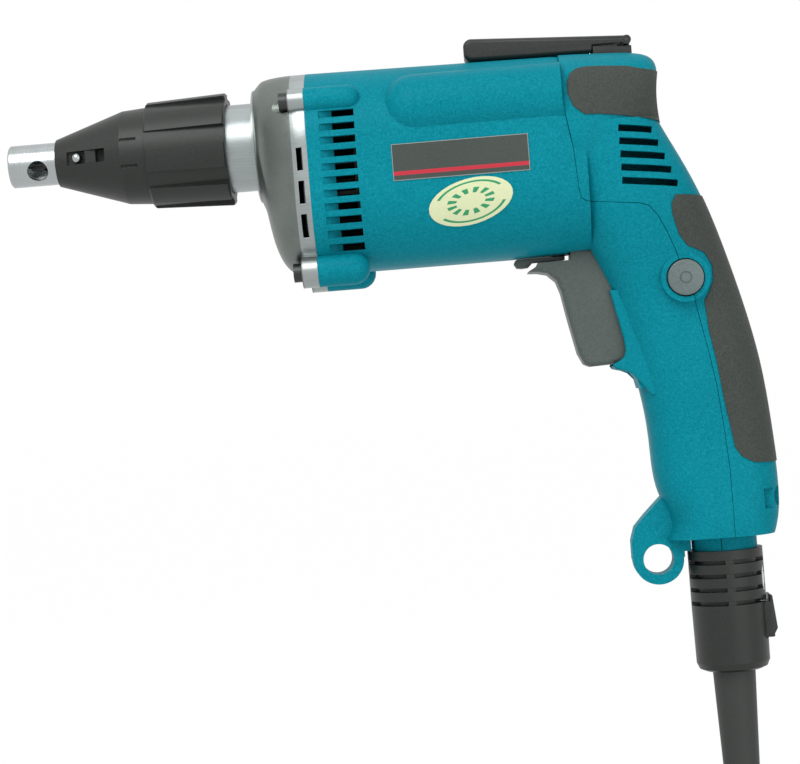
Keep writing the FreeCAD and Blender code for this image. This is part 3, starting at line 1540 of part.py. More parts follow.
# Motor: shaft with pinion, fan, wound rotor and commutator between two bearings.
shaft_bore = dim.motor_shaft_radius + dim.run_gap
pinion_root = dim.gear_module * (dim.pinion_teeth * HALF - DEDENDUM_SHARE)
rear_bearing_end = dim.rear_bearing_start + dim.rear_bearing_width
half_tooth = FreeCAD.Rotation(FreeCAD.Vector(1, 0, 0), 180 / SIZES["pinion_teeth"])
shaft_blank = turned("shaft_blank", (
    (gear_start, ZERO),
    (gear_start, pinion_root),
    (-dim.gear_back, pinion_root),
    (-dim.gear_back, dim.motor_shaft_radius),
    (rear_bearing_end, dim.motor_shaft_radius),
    (rear_bearing_end, ZERO),
), z=-motor_drop, turn=half_tooth)
node("armature_shaft", toothed(
    "armature_shaft", shaft_blank, dim.pinion_teeth, gear_start, dim.gear_face))
fan_end = dim.fan_start + dim.fan_length
fan_body = turned("fan_body", (
    (dim.fan_start, shaft_bore),
    (dim.fan_start, dim.fan_hub_radius),
    (fan_end - dim.fan_disc, dim.fan_hub_radius),
    (fan_end - dim.fan_disc, dim.fan_radius),
    (fan_end, dim.fan_radius),
    (fan_end, shaft_bore),
), z=-motor_drop)
node("cooling_fan", ringed(
    fan_body, "fan_blade",
    ((-dim.fan_blade * HALF, dim.fan_hub_radius * HALF),
     (dim.fan_blade * HALF, dim.fan_hub_radius * HALF),
     (dim.fan_blade * HALF, dim.fan_radius - dim.fan_blade),
     (-dim.fan_blade * HALF, dim.fan_radius - dim.fan_blade)),
    dim.fan_start, dim.fan_length, dim.fan_blades))
stator_end = dim.stator_start + dim.stator_length
slot_floor = dim.rotor_radius - dim.rotor_slot_depth
slot_half = dim.rotor_slot_width * HALF
slot_pitch = math.pi / SIZES["rotor_slots"]
rotor_body = turned("rotor_body", (
    (dim.stator_start, shaft_bore),
    (dim.stator_start, slot_floor),
    (stator_end, slot_floor),
    (stator_end, shaft_bore),
), z=-motor_drop)
tooth_foot = slot_floor * math.tan(slot_pitch) - slot_half
tooth_tip = dim.rotor_radius * math.sin(slot_pitch) - slot_half
tip_level = dim.rotor_radius * math.cos(slot_pitch * TOOTH_TIP_SHARE)
node("rotor_core", ringed(
    rotor_body, "rotor_tooth",
    ((-tooth_foot, slot_floor * TOOTH_ROOT_SHARE), (tooth_foot, slot_floor * TOOTH_ROOT_SHARE),
     (tooth_foot, slot_floor), (tooth_tip, tip_level), (-tooth_tip, tip_level),
     (-tooth_foot, slot_floor)),
    dim.stator_start, dim.stator_length, dim.rotor_slots))
half_slot = FreeCAD.Rotation(FreeCAD.Vector(1, 0, 0), math.degrees(slot_pitch))
winding_front = dim.stator_start - dim.winding_slot_gap - dim.winding_end_length
winding_back = stator_end + dim.winding_slot_gap
winding_bore = dim.motor_shaft_radius * 2
winding_body = turned("winding_body", (
    (winding_front, winding_bore),
    (winding_front, dim.winding_radius),
    (winding_front + dim.winding_end_length, dim.winding_radius),
    (winding_front + dim.winding_end_length, winding_bore),
), z=-motor_drop, turn=half_slot)
bar_half = slot_half - dim.winding_slot_gap
ringed(
    winding_body, "winding_bar",
    ((-bar_half, slot_floor + dim.winding_slot_gap), (bar_half, slot_floor + dim.winding_slot_gap),
     (bar_half, dim.winding_radius - dim.winding_slot_gap),
     (-bar_half, dim.winding_radius - dim.winding_slot_gap)),
    winding_front + dim.winding_end_length * HALF,
    dim.stator_length + dim.winding_end_length + dim.winding_slot_gap * 2, dim.rotor_slots)
back_sketch = add_sketch(winding_body, "winding_back_profile", "XZ_Plane")
outline(back_sketch, (
    (winding_back, winding_bore),
    (winding_back, dim.winding_radius),
    (winding_back + dim.winding_end_length, dim.winding_radius),
    (winding_back + dim.winding_end_length, winding_bore),
))
back_spin = winding_body.newObject("PartDesign::Revolution", "winding_back_turn")
back_spin.Profile = back_sketch
back_spin.ReferenceAxis = (back_sketch, ["H_Axis"])
winding_body.Tip = back_spin
node("rotor_windings", winding_body)
commutator_end = dim.commutator_start + dim.commutator_length
riser = dim.bearing_ring_wall
node("commutator", turned("commutator", (
    (dim.commutator_start, shaft_bore),
    (dim.commutator_start, dim.commutator_radius + riser),
    (dim.commutator_start + riser, dim.commutator_radius + riser),
    (dim.commutator_start + riser, dim.commutator_radius),
    (commutator_end, dim.commutator_radius),
    (commutator_end, shaft_bore),
), z=-motor_drop))
stator_radius = inner_drop - motor_drop - dim.stator_gap
node("stator_core", turned("stator_core", (
    (dim.stator_start, dim.stator_bore_radius),
    (dim.stator_start, stator_radius),
    (stator_end, stator_radius),
    (stator_end, dim.stator_bore_radius),
), z=-motor_drop))
coil_ends = []
coil_low = dim.stator_bore_radius + dim.coil_inset * HALF
coil_high = coil_low + dim.coil_wall
for name, start in (("front", dim.stator_start - dim.coil_end_length), ("back", stator_end)):
    end = start + dim.coil_end_length
    coil_ends.append(turned(f"coil_{name}", (
        (start, coil_low + dim.coil_inset),
        (start, coil_high - dim.coil_inset),
        (start + dim.coil_inset, coil_high),
        (end - dim.coil_inset, coil_high),
        (end, coil_high - dim.coil_inset),
        (end, coil_low + dim.coil_inset),
        (end - dim.coil_inset, coil_low),
        (start + dim.coil_inset, coil_low),
    ), z=-motor_drop))
node("stator_coils", fuse("stator_coils", *coil_ends))


def wall_plate(name, start, length):
    """Plate across the inside of the barrel."""
    return loft(name, "YZ_Plane", [
        (x, -plate_half, plate_half, -plate_low, barrel_rise(x) - plate_gap,
         inner_corner - dim.seat_gap)
        for x in (start, start + length)], straight=True)


node("air_baffle", cut(
    "air_baffle", wall_plate("baffle_blank", dim.baffle_start, dim.baffle_length),
    rod("baffle_bore", "x", (dim.baffle_start - dim.overrun, ZERO, -motor_drop),
        dim.baffle_bore_radius, dim.baffle_length + dim.overrun * 2)))
bracket_cuts = [
    rod("rear_bearing_seat", "x", (dim.rear_bearing_start, ZERO, -motor_drop),
        dim.rear_bearing_radius, dim.bracket_depth + dim.overrun),
    rod("rear_shaft_room", "x", (dim.bracket_start - dim.overrun, ZERO, -motor_drop),
        dim.motor_shaft_radius + dim.bearing_ring_wall, dim.bracket_depth + dim.overrun),
]
lever_top = dim.lever_pivot_tall - dim.lever_drop
bracket_cuts.append(rod(
    "lever_room", "z", (dim.lever_pivot_reach, ZERO, -inner_drop - dim.overrun),
    dim.lever_collar_radius + dim.free_gap, dim.overrun + inner_drop + lever_top + dim.free_gap))
air_radius = dim.rear_bearing_radius * AIR_HOLE_SHARE
for name, y, z, lift_share in (
        ("left", -inner_half, ZERO, AIR_SIDE_SHARE), ("right", inner_half, ZERO, AIR_SIDE_SHARE),
        ("top", ZERO, inner_top, -HALF), ("low", ZERO, -inner_drop, -HALF)):
    bracket_cuts.append(rod(
        f"air_hole_{name}", "x",
        (dim.bracket_start - dim.overrun, y * AIR_SPREAD_SHARE,
         z * AIR_SPREAD_SHARE + air_radius * lift_share),
        air_radius, dim.bracket_depth + dim.overrun * 2))
node("bearing_bracket", cut(
    "bearing_bracket", wall_plate("bracket_blank", dim.bracket_start, dim.bracket_depth),
    *bracket_cuts))
node("rear_bearing", bearing(
    "rear_bearing", dim.rear_bearing_start, dim.rear_bearing_width, dim.rear_bearing_radius,
    shaft_bore, motor_drop))
brush_middle = dim.commutator_start + riser + (dim.commutator_length - riser) * HALF
brush_half, brush_tall = dim.brush_width * HALF, dim.brush_height * HALF
brush_boxes, brushes, brush_springs = [], [], []
for side, sign in SIDES:
    near = dim.commutator_radius + dim.brush_box_gap
    far_y = near + dim.brush_box_length
    tip = dim.commutator_radius + dim.run_gap
    wall = dim.brush_box_wall

    def sided(name, x0, x1, y0, y1, tall):
        """Box on one side of the commutator, level with the motor shaft."""
        ys = sorted((y0 * sign, y1 * sign), key=lambda size: size.value)
        return box(f"{name}_{side}", (x0, ys[0], -motor_drop - tall),
                   (x1, ys[1], -motor_drop + tall))

    case = sided("brush_case", brush_middle - brush_half - wall, dim.bracket_start, near, far_y,
                 brush_tall + wall)
    room = sided("brush_room", brush_middle - brush_half - dim.run_gap,
                 brush_middle + brush_half + dim.run_gap, near - dim.overrun, far_y - wall,
                 brush_tall + dim.run_gap)
    brush_boxes.append(cut(f"brush_box_{side}", case, room))
    brushes.append(sided("brush", brush_middle - brush_half, brush_middle + brush_half, tip,
                         tip + dim.brush_length, brush_tall))
    spring_length = SIZES["brush_box_gap"] + SIZES["brush_box_length"] - SIZES["brush_box_wall"]
    spring_length -= SIZES["brush_length"] + 2 * SIZES["run_gap"]
    spring = coded(
        f"brush_spring_{side}",
        spring_shape(SIZES["brush_spring_radius"], SIZES["clutch_wire"], spring_length,
                     SIZES["spring_turns"]),
        brush_middle, (tip + dim.brush_length) * sign, -motor_drop)
    spring.Placement = FreeCAD.Placement(
        spring.Placement.Base, FreeCAD.Rotation(FreeCAD.Vector(1, 0, 0), -90 * sign))
    brush_springs.append(spring)
node("brush_holders", fuse("brush_holders", *brush_boxes))
node("carbon_brushes", fuse("carbon_brushes", *brushes))
node("brush_springs", fuse("brush_springs", *brush_springs))

# Switch with the trigger's plunger bore, and a capacitor under it.
plunger_spot = (trigger_back, ZERO, -dim.plunger_drop)
plunger_length = dim.switch_front - trigger_back + dim.plunger_depth
node("switch_body", cut(
    "switch_body",
    box("switch_case", (dim.switch_front, -dim.switch_half_width, switch_low),
        (dim.switch_front + dim.switch_depth, dim.switch_half_width, -dim.switch_top_drop)),
    rod("plunger_bore", "x", (dim.switch_front - dim.overrun, ZERO, -dim.plunger_drop),
        dim.plunger_radius + dim.run_gap,
        dim.overrun + dim.plunger_depth + dim.trigger_travel + dim.free_gap)))
node("noise_capacitor", rod(
    "noise_capacitor", "z",
    (dim.switch_front + dim.switch_depth * HALF, ZERO,
     switch_low - dim.seat_gap - dim.capacitor_length), dim.capacitor_radius,
    dim.capacitor_length))
trigger_blank = prism(
    "trigger_blank", "XZ_Plane",
    spread(TRIGGER_SHARES, dim.trigger_front, trigger_top, dim.trigger_depth, dim.trigger_height),
    dim.trigger_half_width * 2, middle=True)


def on_trigger_front(edge):
    """True for the side edges of the trigger's beak, finger face and foot."""
    middle = edge.CenterOfMass
    if edge.BoundBox.YLength > 1e-6 or middle.y == 0:
        return False
    back_share = (middle.x - SIZES["trigger_front"]) / SIZES["trigger_depth"]
    low_share = (-SIZES["trigger_top_drop"] - middle.z) / SIZES["trigger_height"]
    return back_share < BEAK_BACK_SHARE and low_share > BEAK_TOP_SHARE


soften(trigger_blank, dim.trigger_edge_round, on_trigger_front)
node("trigger", fuse(
    "trigger", trigger_blank,
    rod("plunger", "x", plunger_spot, dim.plunger_radius, plunger_length)))
trigger_spring = coded(
    "trigger_spring",
    spring_shape(
        SIZES["trigger_spring_radius"], SIZES["clutch_wire"],
        SIZES["switch_front"] - SIZES["trigger_front"] - SIZES["trigger_depth"],
        SIZES["spring_turns"]),
    trigger_back, ZERO, -dim.trigger_spring_drop)
trigger_spring.Placement = FreeCAD.Placement(trigger_spring.Placement.Base, TURN_X)
node("trigger_spring", trigger_spring)

# Reversing lever above the trigger, on a pivot through the barrel's floor.
lever_arm = prism(
    "lever_arm", "XZ_Plane",
    spread(LEVER_SHARES, dim.lever_front, -dim.lever_drop, dim.lever_length, dim.lever_height),
    dim.lever_half_width * 2, middle=True)
lever_post = rod(
    "lever_post", "z",
    (dim.lever_pivot_reach, ZERO, -dim.lever_drop - dim.lever_height * LEVER_SHARES[6][1]),
    dim.lever_pivot_radius, dim.lever_pivot_tall)
lever_collar = rod(
    "lever_collar", "z", (dim.lever_pivot_reach, ZERO, -inner_drop + dim.free_gap),
    dim.lever_collar_radius, dim.lever_collar_tall)
node("reverse_lever", fuse("reverse_lever", lever_arm, lever_post, lever_collar))

# Lock button on the left side with its return spring.
lock_outer = -dim.lock_ring_out - dim.lock_proud
flange_out = -dim.lock_ring_in + dim.seat_gap
flange_in = flange_out + dim.lock_flange_thick
lock_stem = rod(
    "lock_stem", "y", (dim.lock_reach, lock_outer, -dim.lock_drop), dim.lock_radius,
    flange_in - lock_outer)
lock_flange = rod(
    "lock_flange", "y", (dim.lock_reach, flange_out, -dim.lock_drop),
    dim.lock_radius + dim.lock_flange, dim.lock_flange_thick)
node("lock_button", fuse("lock_button", lock_stem, lock_flange))
lock_spring = coded(
    "lock_spring",
    spring_shape(
        SIZES["lock_spring_radius"], SIZES["clutch_wire"],
        SIZES["lock_ring_in"] - SIZES["seat_gap"] - SIZES["lock_flange_thick"]
        - SIZES["switch_half_width"], 3),
    dim.lock_reach, flange_in, -dim.lock_drop)
lock_spring.Placement = FreeCAD.Placement(lock_spring.Placement.Base, TURN_Y)
node("lock_spring", lock_spring)

# Belt hook: a channel arm that folds down on the barrel, on a pin in its base.
hook_top_back = dim.hook_pivot_rise + dim.hook_knuckle_radius
hook_heel = dim.hook_base_start - dim.free_gap
hook_arm = prism("hook_arm", "XZ_Plane", (
    (dim.hook_front, barrel_rise(dim.hook_front) + dim.hook_lift_gap),
    (dim.hook_front, dim.hook_front_top),
    (dim.hook_pivot_reach, hook_top_back),
    (dim.hook_pivot_reach, dim.hook_base_top + dim.free_gap),
    (hook_heel, dim.hook_base_top + dim.free_gap),
    (hook_heel, barrel_rise(hook_heel) + dim.hook_lift_gap),
), dim.hook_half_width * 2, middle=True)
soften(hook_arm, dim.hook_end_round, lambda edge: (
    edge.BoundBox.YLength > SIZES["hook_half_width"]
    and abs(edge.CenterOfMass.x - SIZES["hook_front"]) < 1e-6))
soften(hook_arm, dim.hook_edge_round, lambda edge: (
    edge.BoundBox.XLength > SIZES["hook_half_width"]
    and abs(abs(edge.CenterOfMass.y) - SIZES["hook_half_width"]) < 1e-6
    and edge.CenterOfMass.z > SIZES["hook_pivot_rise"]))
knuckle_spot = (dim.hook_pivot_reach, -dim.hook_half_width, dim.hook_pivot_rise)
hook_knuckle = rod(
    "hook_knuckle", "y", knuckle_spot, dim.hook_knuckle_radius, dim.hook_half_width * 2)
tongue_room = dim.hook_tongue_half + dim.free_gap
hook_slot = box(
    "hook_slot",
    (dim.hook_pivot_reach - dim.hook_knuckle_radius * 2, -tongue_room, ZERO),
    (dim.hook_pivot_reach + dim.hook_knuckle_radius * 2, tongue_room,
     dim.hook_front_top + dim.overrun))
hook_channel = box(
    "hook_channel",
    (dim.hook_front + dim.hook_wall * 2, -dim.hook_half_width + dim.hook_wall, ZERO),
    (dim.hook_pivot_reach - dim.hook_knuckle_radius, dim.hook_half_width - dim.hook_wall,
     hook_top_back - dim.hook_wall))
pin_bore = rod(
    "hook_pin_bore", "y", (dim.hook_pivot_reach, -dim.hook_half_width - dim.overrun,
                           dim.hook_pivot_rise),
    dim.hook_pin_radius + dim.run_gap, (dim.hook_half_width + dim.overrun) * 2)
node("belt_hook", cut(
    "belt_hook", fuse("hook_whole", hook_arm, hook_knuckle), hook_slot, hook_channel,
    pin_bore))
node("hook_pin", rod(
    "hook_pin", "y", knuckle_spot, dim.hook_pin_radius, dim.hook_half_width * 2))
hook_plate = box(
    "hook_plate", (dim.hook_base_start, -base_half, dim.hook_base_foot + dim.seat_gap),
    (dim.hook_pivot_reach - dim.hook_knuckle_radius * 2, base_half, dim.hook_base_top))
hook_sole = box(
    "hook_sole",
    (dim.hook_pivot_reach - dim.hook_knuckle_radius * 3, -base_half,
     dim.hook_base_foot + dim.seat_gap),
    (dim.hook_pivot_reach + dim.hook_knuckle_radius, base_half,
     dim.hook_pivot_rise - dim.hook_knuckle_radius - dim.free_gap))
hook_lug = box(
    "hook_lug",
    (dim.hook_pivot_reach - dim.hook_knuckle_radius * HOOK_LUG_SHARE, -dim.hook_tongue_half,
     dim.hook_base_foot + dim.seat_gap),
    (dim.hook_pivot_reach + dim.hook_knuckle_radius * HOOK_LUG_SHARE, dim.hook_tongue_half,
     dim.hook_pivot_rise))
hook_eye = rod(
    "hook_eye", "y", (dim.hook_pivot_reach, -dim.hook_tongue_half, dim.hook_pivot_rise),
    dim.hook_knuckle_radius * HOOK_EYE_SHARE, dim.hook_tongue_half * 2)
node("hook_base", cut(
    "hook_base", fuse("hook_base_whole", hook_plate, hook_sole, hook_lug, hook_eye), pin_bore))

# Cord connector under the handle: collar, ribbed boot, latched plug body and cord guard.
collar_top = -dim.handle_end_drop
collar_low = collar_top - dim.collar_height
boot_low = collar_low - dim.boot_height
connector_low = boot_low - dim.connector_height
guard_end = connector_low - dim.guard_length
node("handle_collar", turned("handle_collar", (
    (ZERO, collar_top), (dim.collar_radius, collar_top), (dim.collar_radius, collar_low),
    (ZERO, collar_low)), x=dim.cord_reach, upright=True))
boot_step = dim.boot_height / dim.boot_rings
boot_profile = [(ZERO, collar_low)]
for ring in range(SIZES["boot_rings"]):
    top = collar_low - boot_step * ring
    bottom = top - dim.boot_ring_height
    boot_profile += [
        (dim.boot_radius, top), (dim.boot_radius, bottom),
        (dim.boot_groove_radius, bottom), (dim.boot_groove_radius, top - boot_step)]
boot_profile.append((ZERO, boot_low))
boot_parts = [turned("boot_rings_body", boot_profile, x=dim.cord_reach, upright=True)]
web_reach = dim.boot_radius - dim.seat_gap
for name, wide, deep in (("along", web_reach, dim.boot_web * HALF),
                         ("across", dim.boot_web * HALF, web_reach)):
    boot_parts.append(box(
        f"boot_web_{name}", (dim.cord_reach - wide, -deep, boot_low),
        (dim.cord_reach + wide, deep, collar_low)))
node("connector_boot", fuse("connector_boot", *boot_parts))
connector_blank = turned("connector_blank", (
    (ZERO, boot_low),
    (dim.connector_top_radius, boot_low),
    (dim.connector_low_radius, connector_low + dim.connector_round),
    (dim.connector_low_radius - dim.connector_round * CONNECTOR_EDGE_SHARE,
     connector_low + dim.connector_round * CONNECTOR_EDGE_SHARE),
    (dim.connector_low_radius - dim.connector_round, connector_low),
    (ZERO, connector_low),
), x=dim.cord_reach, upright=True)
latch_pivot_x = dim.latch_start - dim.latch_ear
latch_top = -dim.latch_top_drop
latch_low = latch_top - dim.latch_height
latch_room = box(
    "latch_room",
    (latch_pivot_x - dim.latch_pin_radius * 2 - dim.free_gap, -dim.latch_half_width - dim.free_gap,
     latch_low - dim.free_gap),
    (dim.latch_end + dim.overrun, dim.latch_half_width + dim.free_gap,
     boot_low + dim.overrun))
latch_pivot_z = boot_low - dim.free_gap - dim.latch_pin_radius * 2
ear_reach = dim.latch_half_width + dim.latch_ear * LATCH_EAR_SHARE
latch_pin = rod(
    "latch_pin", "y", (latch_pivot_x, -ear_reach, latch_pivot_z), dim.latch_pin_radius,
    ear_reach * 2)
latch_pin_bore = rod(
    "latch_pin_bore", "y", (latch_pivot_x, -ear_reach - dim.seat_gap, latch_pivot_z),
    dim.latch_pin_radius + dim.run_gap, (ear_reach + dim.seat_gap) * 2)
node("connector_body", cut("connector_body", connector_blank, latch_room, latch_pin_bore))
latch_bar = prism("latch_bar", "XZ_Plane", (
    (latch_pivot_x - dim.latch_pin_radius * 2, boot_low - dim.free_gap),
    (dim.latch_lip_start, boot_low - dim.free_gap),
    (dim.latch_lip_start, boot_low + dim.latch_lip_rise),
    (dim.latch_foot_end, boot_low + dim.latch_lip_rise),
    (dim.latch_end, latch_low + dim.latch_ear),
    (dim.latch_foot_end, latch_low + dim.latch_pin_radius),
    (dim.latch_foot_end, latch_low),
    (latch_pivot_x + dim.latch_ear * HALF, latch_low),
    (latch_pivot_x - dim.latch_pin_radius * 2, latch_pivot_z - dim.latch_pin_radius * 2),
), dim.latch_half_width * 2, middle=True)
node("release_latch", fuse("release_latch", latch_bar, latch_pin))
node("cord_guard", turned("cord_guard", (
    (ZERO, connector_low),
    (dim.guard_top_radius, connector_low),
    (dim.guard_low_radius, guard_end + dim.guard_lip),
    (dim.guard_low_radius - dim.guard_lip * HALF, guard_end),
    (ZERO, guard_end),
), x=dim.cord_reach, upright=True))

# Mains lead: a straight drop, a tied coil in four layers and a short tail to the plug.
cord = SIZES["cord_diameter"]
step = SIZES["coil_pitch"]
node("power_cord_lead", rod(
    "power_cord_lead", "z", (dim.cord_reach, ZERO, guard_end - dim.lead_length),
    dim.cord_diameter * HALF, dim.lead_length))
coil_level = guard_end - dim.lead_length - dim.cord_diameter
# Quarter turns in each stretch, with the change of radius and of layer in one whole turn.
COIL_STRETCHES = ((8, -1, 0), (2, 0, 2), (9, 1, 0), (2, 0, 2), (9, -1, 0), (2, 0, 2), (8, 1, 0))
radius, side = SIZES["coil_radius"], 0.0
stations = [(0.0, radius, side)]
for quarters, inward, climb in COIL_STRETCHES:
    for quarter in range(quarters):
        radius += inward * step / 4
        side += climb * step / 4
        stations.append((len(stations) * math.pi / 2, radius, side))


def coil_spot(station):
    angle, radius, side = station
    return FreeCAD.Vector(
        radius * math.cos(angle) - SIZES["coil_radius"], side, -radius * math.sin(angle))


def coil_way(index):
    """Direction of the cord at a station, with the mean slope of its two neighbours."""
    angle, radius, side = stations[index]
    outward = climb = 0.0
    if 0 < index < len(stations) - 1:
        before, after = stations[index - 1], stations[index + 1]
        outward = (after[1] - before[1]) / math.pi
        climb = (after[2] - before[2]) / math.pi
    along = FreeCAD.Vector(-math.sin(angle), 0, -math.cos(angle)) * radius
    along += FreeCAD.Vector(math.cos(angle), 0, -math.sin(angle)) * outward
    along += FreeCAD.Vector(0, climb, 0)
    return along.normalize()


down = FreeCAD.Vector(0, 0, -1)
first_spot = coil_spot(stations[0]) - down * cord
coil_edges = [Part.LineSegment(first_spot, coil_spot(stations[0])).toShape()]
for index in range(len(stations) - 1):
    coil_edges += biarc(coil_spot(stations[index]), coil_way(index),
                        coil_spot(stations[index + 1]), coil_way(index + 1))
last_spot = coil_spot(stations[-1])
coil_edges.append(Part.LineSegment(last_spot, last_spot + down * cord).toShape())
coil_length = sum(edge.Length for edge in coil_edges)
coil_shape = tube(coil_edges, cord / 2, first_spot, down)
trace = []
for edge in coil_edges:
    count = max(2, round(edge.Length / 2))
    trace += edge.discretize(Number=count)[:-1]
apart = 12
least = min(
    (a - b).Length for i, a in enumerate(trace) for b in trace[i + apart:]) - cord
print(f"coil length {coil_length:.1f}, volume share "
      f"{coil_shape.Volume / (coil_length * math.pi * cord * cord / 4):.4f}, "
      f"least gap to itself {least:.2f}, least radius {min(s[1] for s in stations):.1f}")
node("power_cord_coil", coded("power_cord_coil", coil_shape, dim.cord_reach, ZERO, coil_level))
tail_side = dim.coil_pitch * 3
tail_top = coil_level - dim.cord_diameter
tail_end = tail_top - dim.tail_length
node("power_cord_tail", rod(
    "power_cord_tail", "z", (dim.cord_reach, tail_side, tail_end), dim.cord_diameter * HALF,
    dim.tail_length))
cord_half = dim.cord_diameter * HALF
coil_centre = dim.cord_reach - dim.coil_radius
tie_far = (coil_centre - dim.coil_radius - dim.coil_pitch * COIL_SEAT_SHARE - cord_half
           - dim.tie_gap)
tie_near = coil_centre - dim.coil_radius + dim.coil_pitch * 2 + cord_half + dim.tie_gap
tie_low, tie_high = -cord_half - dim.tie_gap, tail_side + cord_half + dim.tie_gap
tie_span = dim.tie_width * HALF
node("cord_tie", cut(
    "cord_tie",
    box("tie_outer", (tie_far - dim.tie_thick, tie_low - dim.tie_thick, coil_level - tie_span),
        (tie_near + dim.tie_thick, tie_high + dim.tie_thick, coil_level + tie_span)),
    box("tie_inner", (tie_far, tie_low, coil_level - tie_span - dim.overrun),
        (tie_near, tie_high, coil_level + tie_span + dim.overrun))))

# Flat two-pin plug at the end of the lead. Sections: depth, half width and half thickness
# between neck and face, as shares.
PLUG_SHARES = ((0.0, 0.0, 0.0), (0.35, 0.12, 0.3), (0.7, 0.75, 0.9), (1.0, 1.0, 1.0))
plug_sections = []
for place, wide, thick in PLUG_SHARES:
    half = dim.plug_neck_radius + (dim.plug_half_wide - dim.plug_neck_radius) * wide
    deep = dim.plug_neck_radius + (dim.plug_half_thick - dim.plug_neck_radius) * thick
    plug_sections.append((
        tail_end - dim.plug_length * place, dim.cord_reach - half, dim.cord_reach + half,
        tail_side - deep, tail_side + deep, dim.plug_corner))
node("mains_plug", loft("mains_plug", "XY_Plane", plug_sections))
plug_face = tail_end - dim.plug_length
node("plug_pins", fuse("plug_pins", *[
    rod(f"plug_pin_{side}", "z",
        (dim.cord_reach + dim.pin_spacing * HALF * sign, tail_side, plug_face - dim.pin_length),
        dim.pin_radius, dim.pin_length) for side, sign in SIDES]))

# Every object has to be sound before anything is written.
doc.recompute()
faults = []
for item in doc.Objects:
    if "Invalid" in item.State or "Error" in item.State:
        faults.append(f"{item.Name}: {item.State}")
for name, item in NODES.items():
    if item.Shape.isNull() or not item.Shape.isValid() or not item.Shape.Solids:
        faults.append(f"{name}: no sound solid")
if faults:
    raise RuntimeError("; ".join(faults))
os.makedirs("parts", exist_ok=True)
for name, item in NODES.items():
    item.Shape.exportStep(f"parts/{name}.step")
print(f"{len(NODES)} sub-parts written")
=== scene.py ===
"""Looks of a corded drywall screwdriver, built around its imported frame."""
import json
import logging
import math
from dataclasses import dataclass, field
from enum import Enum
from typing import Any, ClassVar, Iterable, Sequence, Union

import bmesh
import bpy
from mathutils import Matrix, Vector


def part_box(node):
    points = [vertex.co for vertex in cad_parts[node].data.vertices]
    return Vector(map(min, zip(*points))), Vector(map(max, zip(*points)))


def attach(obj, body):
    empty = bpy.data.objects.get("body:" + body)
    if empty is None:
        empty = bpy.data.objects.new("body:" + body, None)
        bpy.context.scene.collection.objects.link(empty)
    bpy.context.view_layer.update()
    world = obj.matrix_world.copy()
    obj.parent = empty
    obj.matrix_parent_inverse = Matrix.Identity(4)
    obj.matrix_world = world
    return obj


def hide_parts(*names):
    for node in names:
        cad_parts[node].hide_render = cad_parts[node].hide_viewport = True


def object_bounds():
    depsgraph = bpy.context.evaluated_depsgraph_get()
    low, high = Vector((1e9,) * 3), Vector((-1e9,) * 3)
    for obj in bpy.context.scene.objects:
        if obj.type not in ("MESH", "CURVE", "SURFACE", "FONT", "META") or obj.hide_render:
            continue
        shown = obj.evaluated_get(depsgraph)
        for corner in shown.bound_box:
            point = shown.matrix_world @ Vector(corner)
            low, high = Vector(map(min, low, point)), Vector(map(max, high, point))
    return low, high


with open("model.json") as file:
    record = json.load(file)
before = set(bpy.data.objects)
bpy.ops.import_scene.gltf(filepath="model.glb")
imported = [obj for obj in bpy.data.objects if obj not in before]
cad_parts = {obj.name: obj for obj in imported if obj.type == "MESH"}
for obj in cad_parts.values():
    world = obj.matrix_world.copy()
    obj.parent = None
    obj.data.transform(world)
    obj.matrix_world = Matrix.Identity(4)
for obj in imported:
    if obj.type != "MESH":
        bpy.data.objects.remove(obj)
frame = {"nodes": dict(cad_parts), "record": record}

log = logging.getLogger("screwdriver")
CAD_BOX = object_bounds()
MM = 0.001
Number = Union[int, float]
Colour = tuple[float, float, float]


def tone(red: Number, green: Number, blue: Number) -> Colour:
    """Turn a display colour into a linear one.

    Args:
        red: Red, from 0 to 255.
        green: Green, from 0 to 255.
        blue: Blue, from 0 to 255.

    Returns:
        The linear colour, each part from 0 to 1.
    """
    parts = (part / 255 for part in (red, green, blue))
    return tuple(p / 12.92 if p <= 0.04045 else ((p + 0.055) / 1.055) ** 2.4 for p in parts)


class Axis(Enum):
    """The three axes of the frame."""

    X = 0
    Y = 1
    Z = 2


